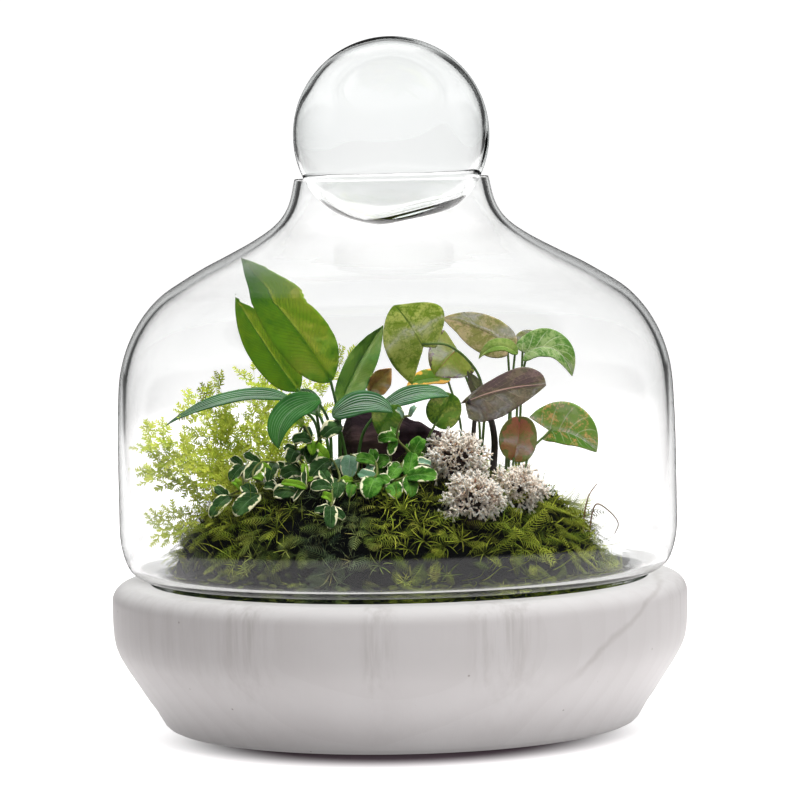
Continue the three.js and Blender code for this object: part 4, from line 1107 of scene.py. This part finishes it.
# Arrowhead vine. Its lobed leaves stand on thin stalks from one crown at the right. Each one has its own
# colour, from lime through olive and rose to a brown like old leather.
vine_leaves = [
    dict(root=(46, -2), via=[(49, -1, 178), (45, -2, 196), (30, -5, 211)], base=(16, -8, 211),
         mid=(8, -11, 225), tip=(0, -4, 237), face=(0.1, -0.97, 0.1), left=(19, 17, 16), right=(21, 5, 6),
         right_outline="broad", fold=-0.12, wave=0.6, finish="vine_leaf",
         tones=((98, 120, 34), (162, 168, 88), (62, 88, 30)), share=0.5),
    dict(root=(62, 10), via=[(64, 10, 175)], base=(64, 5, 209), mid=(46, 6, 221), tip=(27, 3, 227),
         face=(0, -0.95, 0.3), left=(13, 2, 5), right=(9.5, 2, 4), wave=0.6, finish="vine_leaf",
         tones=((122, 116, 70), (168, 148, 118), (88, 96, 50)), share=0.5),
    dict(root=(46, 18), via=[(46, 20, 170)], base=(35, 20, 208), mid=(28, 18, 201), tip=(22, 20, 193),
         face=(0, -1, 0.1), left=(15, -2, 14), right=(13, 2, 13), finish="vine_leaf",
         tones=((134, 150, 62), (160, 166, 84), (158, 74, 66)), share=0.45, margin=((84, 56, 66), 0.12)),
    dict(root=(60, -8), via=[(63, -8, 175)], base=(68, -9, 206), mid=(57, -11, 211), tip=(46, -10, 204),
         face=(0, -0.6, 0.8), width=5.5, finish="vine_leaf_lime",
         tones=((104, 132, 56), (138, 154, 84), (76, 104, 42)), share=0.45),
    dict(root=(68, 14), via=[(70, 14, 180)], base=(71, 14, 208), mid=(74, 14, 213), tip=(79, 14, 217),
         face=(0, -0.95, 0.3), width=6, finish="vine_leaf",
         tones=((112, 112, 78), (130, 122, 90), (84, 90, 54)), share=0.5),
    dict(root=(66, 3), via=[(68, 2, 180)], base=(72, -2, 206), mid=(88, -4, 208), tip=(98, -7, 193),
         face=(0, -0.8, 0.6), left=(11, 3, 5), right=(7, 3, 4), wave=0.5, finish="vine_leaf_green",
         tones=((82, 122, 54), (146, 166, 112), (196, 206, 170)), share=0.5, veins=(7, 2.6, 0.2, 0.6)),
    dict(root=(53, -10), via=[(54, -11, 160), (50, -16, 174)], base=(38, -22, 180), mid=(59, -25, 187),
         tip=(83, -21, 189), face=(0, -0.95, 0.3), left=(11, 2, 0.5), left_outline="late", right=(14, 2, 8),
         fold=-0.2, stalk=2.2, wave=0.9, finish="vine_leaf_dark",
         tones=((84, 66, 70), (112, 92, 88), (196, 150, 150)), share=0.45, veins=(6, 2.2, 0.1, 0.25)),
    dict(root=(63, -18), via=[(63, -17, 138)], base=(64, -16, 147), mid=(67, -18, 159), tip=(68, -14, 171),
         face=(-0.1, -0.98, 0.1), width=10.5, outline="oval", finish="vine_leaf_rosy",
         tones=((150, 82, 74), (116, 92, 60), (176, 92, 88)), share=0.4, margin=((96, 92, 56), 0.25)),
    dict(root=(70, -4), via=[(74, -1, 150)], base=(85, 4, 162), mid=(99, 1, 159), tip=(111, -2, 150),
         face=(0, -0.95, 0.3), left=(16, 11, 7), right=(7, 4, 5), wave=0.8, finish="vine_leaf_lime",
         tones=((86, 126, 52), (212, 156, 108), (196, 208, 172)), share=0.4, veins=(6, 2.2, 0.16, 0.6)),
    dict(root=(36, 22), via=[(36, 25, 165)], base=(31, 28, 190), mid=(18, 28, 191), tip=(6, 28, 187),
         face=(0, -0.5, 0.86), width=8, finish="vine_leaf_lime",
         tones=((84, 116, 40), (128, 138, 52), (60, 90, 30)), share=0.4, margin=((222, 168, 78), 0.3)),
    dict(root=(14, -32), via=[(16, -33, 158)], base=(21, -34, 169), mid=(26, -37, 177), tip=(30, -36, 186),
         face=(0.1, -0.95, 0.2), width=9.5, outline="oval", finish="vine_leaf_green",
         tones=((44, 80, 20), (96, 126, 38), (36, 66, 18)), share=0.45),
    dict(root=(-4, -38), via=[(-3, -40, 160), (-2, -42, 176)], base=(-3, -46, 181), mid=(-6, -48, 173),
         tip=(-10, -46, 165), face=(0, -0.98, 0.1), left=(8.5, 1, 4), right=(8.5, 1, 4),
         finish="vine_leaf_green", tones=((46, 88, 24), (86, 120, 36), (36, 70, 22)), share=0.45),
    dict(root=(42, -6), via=[(43, -6, 165)], base=(46, -4, 181), mid=(44, -4, 188), tip=(40, -3, 196),
         face=(0.5, -0.8, 0.1), width=4.5, stalk=1.6, finish="vine_leaf_dark",
         tones=((58, 56, 48), (80, 70, 60), (44, 44, 40)), share=0.5),
]
plain_veins, no_margin = (8, 2.6, 0.16, 0.4), ((230, 225, 190), 0.0)
vine_stalk = stalk_finish("vine_stalk", (66, 92, 44), (118, 146, 78))
vine_stem = stalk_finish("vine_stem", (38, 32, 36), (74, 66, 66))
# Painted sheen: each vine leaf's light patches are partly its own mottling and partly the sheen on it.
for number, leaf in enumerate(vine_leaves, start=1):
    margin_tone, margin_width = leaf.get("margin", no_margin)
    finish = leaf_finish(f"vine_blade_{number}", tones(*leaf["tones"], margin_tone), {
        **veined(*leaf.get("veins", plain_veins)), "Patch Size": 130.0, "Patch Share": leaf["share"],
        "Grain": 0.7, "Margin Width": margin_width,
    }, roughness=0.42)
    thick = leaf.get("stalk", 0.9)
    stalk_colour = vine_stem if thick > 1 else vine_stalk
    leaf = {"outline": "arrow", **leaf}
    piece = stalked_leaf(f"arrowhead_vine_{number}", leaf, finish, stalk_colour, thick)
    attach(piece, "root")
    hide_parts(f"vine_leaf_{number}")

# Creeping fig. Short stems creep over the front of the moss, set with small oval leaves that are dark green
# with an uneven cream edge, and fresh green with hardly any edge at the middle.
fig_stems = [
    ((-72, -46), "fig_leaf", [(-82, -58, 130, 17, -134, 11.5), (-97, -42, 128, 16, -128, 8.5),
     (-88, -36, 139, 5, 150, 5), (-88, -28, 145, 12, -124, 7.5)]),
    ((-64, -36), "fig_leaf", [(-69, -50, 138, 8, 180, 5.5), (-76, -44, 143, 6, -30, 4.8),
     (-79, -32, 146, 13, -128, 8), (-69, -28, 145, 12, -105, 7.5)]),
    ((-52, -52), "fig_leaf", [(-61, -62, 136, 13, 190, 11), (-56, -70, 141, 14, 176, 4.5),
     (-50, -62, 147, 8, 95, 4.2), (-58, -40, 145, 12, 200, 9)]),
    ((-36, -60), "fig_leaf", [(-42, -48, 148, 16, -135, 10.5), (-32, -72, 139, 11, -100, 7.5),
     (-41, -76, 140, 12, 190, 8.5), (-38, -84, 135, 6, 170, 5), (-36, -97, 126, 13, -92, 7.6)]),
    ((-48, -24), "fig_leaf", [(-57, -34, 154, 9, -110, 9), (-54, -30, 173, 7, 150, 5),
     (-52, -38, 163, 11, 190, 8), (-47, -38, 155, 11, -100, 8), (-35, -53, 169, 12, 20, 11)]),
    ((-20, -60), "fig_leaf_bright", [(-25, -70, 138, 9, -100, 6), (-14, -80, 140, 13, -110, 12),
     (-17, -62, 153, 11, 175, 7), (-8, -58, 151, 9, 20, 9), (-26, -50, 149, 14, -95, 10)]),
    ((6, -66), "fig_leaf_bright", [(13, -62, 151, 11, -15, 5), (-1, -68, 147, 11, -125, 8),
     (13, -77, 145, 17, -8, 10.5), (-2, -79, 138, 10, -70, 9)]),
    ((3, -56), "fig_leaf_bright", [(11, -54, 159, 10, 55, 8.5), (-5, -56, 164, 11, 195, 7.5),
     (2, -57, 178, 5, 150, 3), (9, -57, 179, 5, 40, 3)]),
]

# The materials' places on a stem's piece, the width under which a leaf has the young colour, and where the
# one paler leaf lies.
dark_finish, other_finish, stalk_slot = 0, 1, 2
young_width = 5.2
pale_leaf = (-26, -50, 149)


def fig_leaf(row, seed):
    x, y, z, length, degrees, width = row
    face = Vector((0.3 * (drawn(seed) - 0.5), -0.72, 0.68 + 0.3 * (drawn(seed + 0.5) - 0.5)))
    angle = math.radians(degrees)
    along_x, along_z = math.cos(angle), math.sin(angle)
    along_y = -(face.x * along_x + face.z * along_z) / face.y
    half = Vector((along_x, along_y, along_z)) * length / 2
    middle = Vector((x, y, z))
    face.normalize()
    return dict(base=middle - half, mid=middle + face * 0.6, tip=middle + half, face=face, width=width / 2,
                outline="oval", fold=0.12, wave=0.35)


fig_numbers = {**veined(5, 1.4, 0.12, 0.35, rib=0.07), "Grain": 0.4, "Patch Size": 160.0}
fig_finishes = {
    "fig_leaf": [
        leaf_finish("fig_blade_dark", tones((34, 60, 28), (62, 94, 50), (96, 124, 84), (226, 222, 182)),
                    {**fig_numbers, "Patch Share": 0.45, "Margin Width": 0.16}, roughness=0.34, glow=0.15),
        leaf_finish("fig_blade_young", tones((96, 140, 34), (128, 166, 52), (74, 116, 32), (220, 220, 150)),
                    {**fig_numbers, "Patch Share": 0.45}, roughness=0.34, glow=0.3),
    ],
    "fig_leaf_bright": [
        leaf_finish("fig_blade_bright", tones((42, 88, 22), (92, 142, 54), (120, 162, 84), (230, 228, 190)),
                    {**fig_numbers, "Patch Share": 0.5, "Margin Width": 0.10}, roughness=0.28, glow=0.2),
        leaf_finish("fig_blade_pale",
                    tones((126, 158, 134), (98, 138, 108), (150, 178, 156), (226, 222, 188)),
                    {**fig_numbers, "Patch Share": 0.5, "Margin Width": 0.12}, roughness=0.4, glow=0.15),
    ],
}
fig_stalk = stalk_finish("fig_stalk", (74, 84, 44), (132, 140, 78))
ends = ("base", "mid", "tip")
for number, (root, slot, rows) in enumerate(fig_stems, start=1):
    leaves = [fig_leaf(row, number * 10 + i) for i, row in enumerate(rows)]
    for leaf in leaves:
        base = leaf["base"] + Vector((0, 2, -2))
        leaf["base"] = Vector((base.x, base.y, max(base.z, moss_height(base.x, base.y) + 3.2)))
    dice = random.Random(20 + number)
    bm = bmesh.new()
    marks = []
    for row, leaf in zip(rows, leaves):
        blade(bm, leaf, rows=14, columns=12, thickness=0.5)
        other = row[5] < young_width or row[:3] == pale_leaf
        marks.append((len(bm.faces), other_finish if other else dark_finish))
    stems = [(rooted(root, [leaf["base"] for leaf in leaves], 6), 0.75)]
    for i, (x, y, z, length, degrees, width) in enumerate(rows):
        for turn in (dice.uniform(50, 100), -dice.uniform(50, 100)):
            if length < 8 or z > 166:
                continue
            second = fig_leaf((
                x + dice.uniform(-3, 3), y + dice.uniform(2, 7), z + dice.uniform(-4, 2),
                length * dice.uniform(0.55, 0.8), degrees + turn, width * dice.uniform(0.6, 0.8),
            ), number * 10 + i + 0.3)
            base = leaves[i]["base"]
            shift = base + (second["mid"] - base) * 0.2 - second["base"]
            for end in ends:
                second[end] = second[end] + shift
            if min(second[end].z - moss_height(*second[end].xy) for end in ends) < 2.5:
                continue
            blade(bm, second, rows=12, columns=10, thickness=0.5)
            marks.append((len(bm.faces), dark_finish if dice.random() < 0.8 else other_finish))
            stems.append(([base, (base + second["base"]) / 2 + Vector((0, 0.4, -0.3)), second["base"]], 0.4))
    for path, radius in stems:
        stalk(bm, path, radius, radius * 0.8, sides=6, rows=36 if radius > 0.5 else 4)
    marks.append((len(bm.faces), stalk_slot))
    bm.faces.ensure_lookup_table()
    done = 0
    for count, finish in marks:
        for face in bm.faces[done:count]:
            face.material_index = finish
        done = count
    piece = finished_solid(f"creeping_fig_{number}", bm)
    for material in (*fig_finishes[slot], fig_stalk):
        piece.data.materials.append(material)
    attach(piece, "root")
    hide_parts(f"fig_stem_{number}")

# Spikemoss. Airy stems arch out at the left rear, each with side branches that carry rows of tiny soft
# leaflets, light yellow green where the light comes through them.
spikemoss_stems = [
    ((-98, 8), (-118, 14, 137), (-136, 16, 141), 2),
    ((-90, -6), (-108, 2, 150), (-129, 6, 163), 3),
    ((-86, 18), (-97, 24, 158), (-104, 26, 178), 4),
    ((-70, 30), (-70, 38, 162), (-68, 42, 184), 6),
    ((-58, 38), (-46, 44, 172), (-24, 48, 208), 1),
    ((-106, -8), (-119, -8, 116), (-130, -6, 113), 1),
    ((-94, -20), (-102, -16, 145), (-114, -16, 152), 2),
]
straw_length, straw_steps = 12, 26
side_branches, side_branches_from = 9, 0.34
twig_count = 5


def sprig(pairs, length, reach, bend):
    """A twig along X with small leaflets on both sides, every second pair raised."""
    bm = bmesh.new()
    tips = {}

    def on_stem(share):
        return Vector((length * share, bend * length * share * share, 0.12 * length * math.sin(2.2 * share)))

    for vert in strip(bm, 3):
        share = vert.co.x + 0.5
        tips[vert] = 0.5 * share
        vert.co = on_stem(share) + Vector((0, vert.co.y * 0.5, 0))
    for i in range(pairs):
        share = (i + 0.6) / pairs
        for side in (-1, 1):
            size = reach * (1 - 0.55 * share)
            for vert in strip(bm, 1):
                out = vert.co.x + 0.5
                tips[vert] = 0.4 + 0.3 * share + 0.3 * out
                vert.co = on_stem(share) + Vector((
                    size * (0.75 * out) + vert.co.y * (0.62 if out < 0.5 else 0.34) * reach * 0.9,
                    side * size * out, 0.35 * size * out * (1 if i % 2 else -0.4)))
    return small_shape("sprig", bm, tips)


spikemoss, tree, surface = shader("spikemoss")
growth = growth_of(tree)
light = blend(tree, growth["Red"], paint(184, 204, 56), paint(234, 242, 96))
fill(tree, surface, {
    "Base Color": blend(tree, growth["Green"], paint(160, 176, 60), light), "Roughness": 0.6,
    "Subsurface Weight": 0.3, "Subsurface Radius": (0.6, 1.0, 0.3), "Subsurface Scale": 0.002,
})

sprigs = [sprig(4, 7.5, 2.9, 0.10), sprig(5, 9, 2.7, -0.14), sprig(4, 6.5, 3.1, 0.05)]
straw = strand(straw_length, 0.5, 0.6)
for number, (root, mid, tip, stems) in enumerate(spikemoss_stems, start=1):
    dice = random.Random(70 + number)
    copies = []
    for stem in range(stems):
        lean = jolt(dice, 9, 7, 9) if stem else Vector()
        shift = Vector((dice.gauss(0, 5), dice.gauss(0, 5))) if stem else Vector((0, 0))
        bend, end = Vector(mid) + lean * 0.6, Vector(tip) + lean
        beyond = end + (end - Vector(mid)).normalized() * 5
        path = rooted((root[0] + shift.x, root[1] + shift.y), [bend, beyond], 4)
        for step in range(straw_steps):
            here, there = on_path(path, step / straw_steps), on_path(path, (step + 1) / straw_steps)
            run = there - here
            up = run.cross(run.cross(Vector((0, -1, 0.4))).normalized()).normalized()
            copies.append((straw, standing(here, run, up, 1.15 * run.length / straw_length), 0.3))
        for branch in range(side_branches):
            further = (1 - side_branches_from) * (branch + 0.5 * dice.random()) / side_branches
            share = side_branches_from + further
            here = on_path(path, share)
            ahead = (on_path(path, min(share + 0.03, 1)) - on_path(path, share - 0.03)).normalized()
            facing = Vector((dice.gauss(0, 0.4), -0.75, 0.65 + dice.gauss(0, 0.3))).normalized()
            side = facing.cross(ahead).normalized() * (1 if branch % 2 else -1)
            heading = (ahead + side * dice.uniform(0.7, 1.5)).normalized()
            reach = (16 - 7 * abs(share - 0.6)) * dice.uniform(0.6, 1.1)
            if share > 0.95:
                heading, reach = ahead, reach * 0.7
            for twig in range(twig_count):
                droop = Vector((0, 0, -0.02 * reach * (twig / twig_count) ** 2 * reach * 0.3))
                at = here + heading * reach * twig / twig_count + droop
                out = heading.cross(facing).normalized() * (1 if twig % 2 else -1)
                way = heading if twig == twig_count - 1 else (heading + out * 0.9).normalized()
                shade, shape = dice.random(), sprigs[dice.randrange(3)]
                copies.append((shape, standing(at, way, facing, dice.uniform(0.55, 0.95)), shade))
            copies.append((straw, standing(here, heading, facing, reach / straw_length), 0.5))
    piece = grown(f"spikemoss_{number}", copies, spikemoss)
    kept_inside(piece, 127, 149.5)
    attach(piece, "root")
    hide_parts(f"spikemoss_spray_{number}")

# Dry bits. A curled brown leaf stands on its stalk behind the driftwood, and two thin dry tendrils hang over
# the edge of the moss at the right.
dry_leaf = dict(root=(-14, 22), via=[(-14, 23, 165)], base=(-15, 24, 184), mid=(-9, 24, 191),
                tip=(-2, 24, 197), face=(0.5, -0.8, 0.2), width=6.5, fold=0.5, wave=1.0, cup=0.2)
tendrils = [
    ((102, -20), [(104, -20, 123), (106, -19, 128), (110, -17, 133)]),
    ((106, -8), [(110, -9, 121), (117, -9, 117), (122, -8, 110), (120, -7, 104)]),
]
dry_blade = leaf_finish("dry_blade", tones((186, 142, 92), (150, 106, 66), (112, 74, 48)), {
    **veined(9, 2.6, 0.2, 0.4, rib=0.06), "Patch Size": 120.0,
}, roughness=0.75, glow=0.2)
dry_stalk = stalk_finish("dry_stalk", (92, 64, 40), (150, 112, 70))
piece = stalked_leaf("dry_curled_leaf", dry_leaf, dry_blade, dry_stalk, 0.9)
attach(piece, "root")
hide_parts("dry_leaf")
for number, (root, points) in enumerate(tendrils, start=1):
    bm = bmesh.new()
    stalk(bm, rooted(root, points, 6), 0.5, 0.25, sides=6, rows=40)
    tendril = finished_solid(f"tendril_{number}", bm)
    tendril.data.materials.append(dry_stalk)
    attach(tendril, "root")
    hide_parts(f"dry_tendril_{number}")
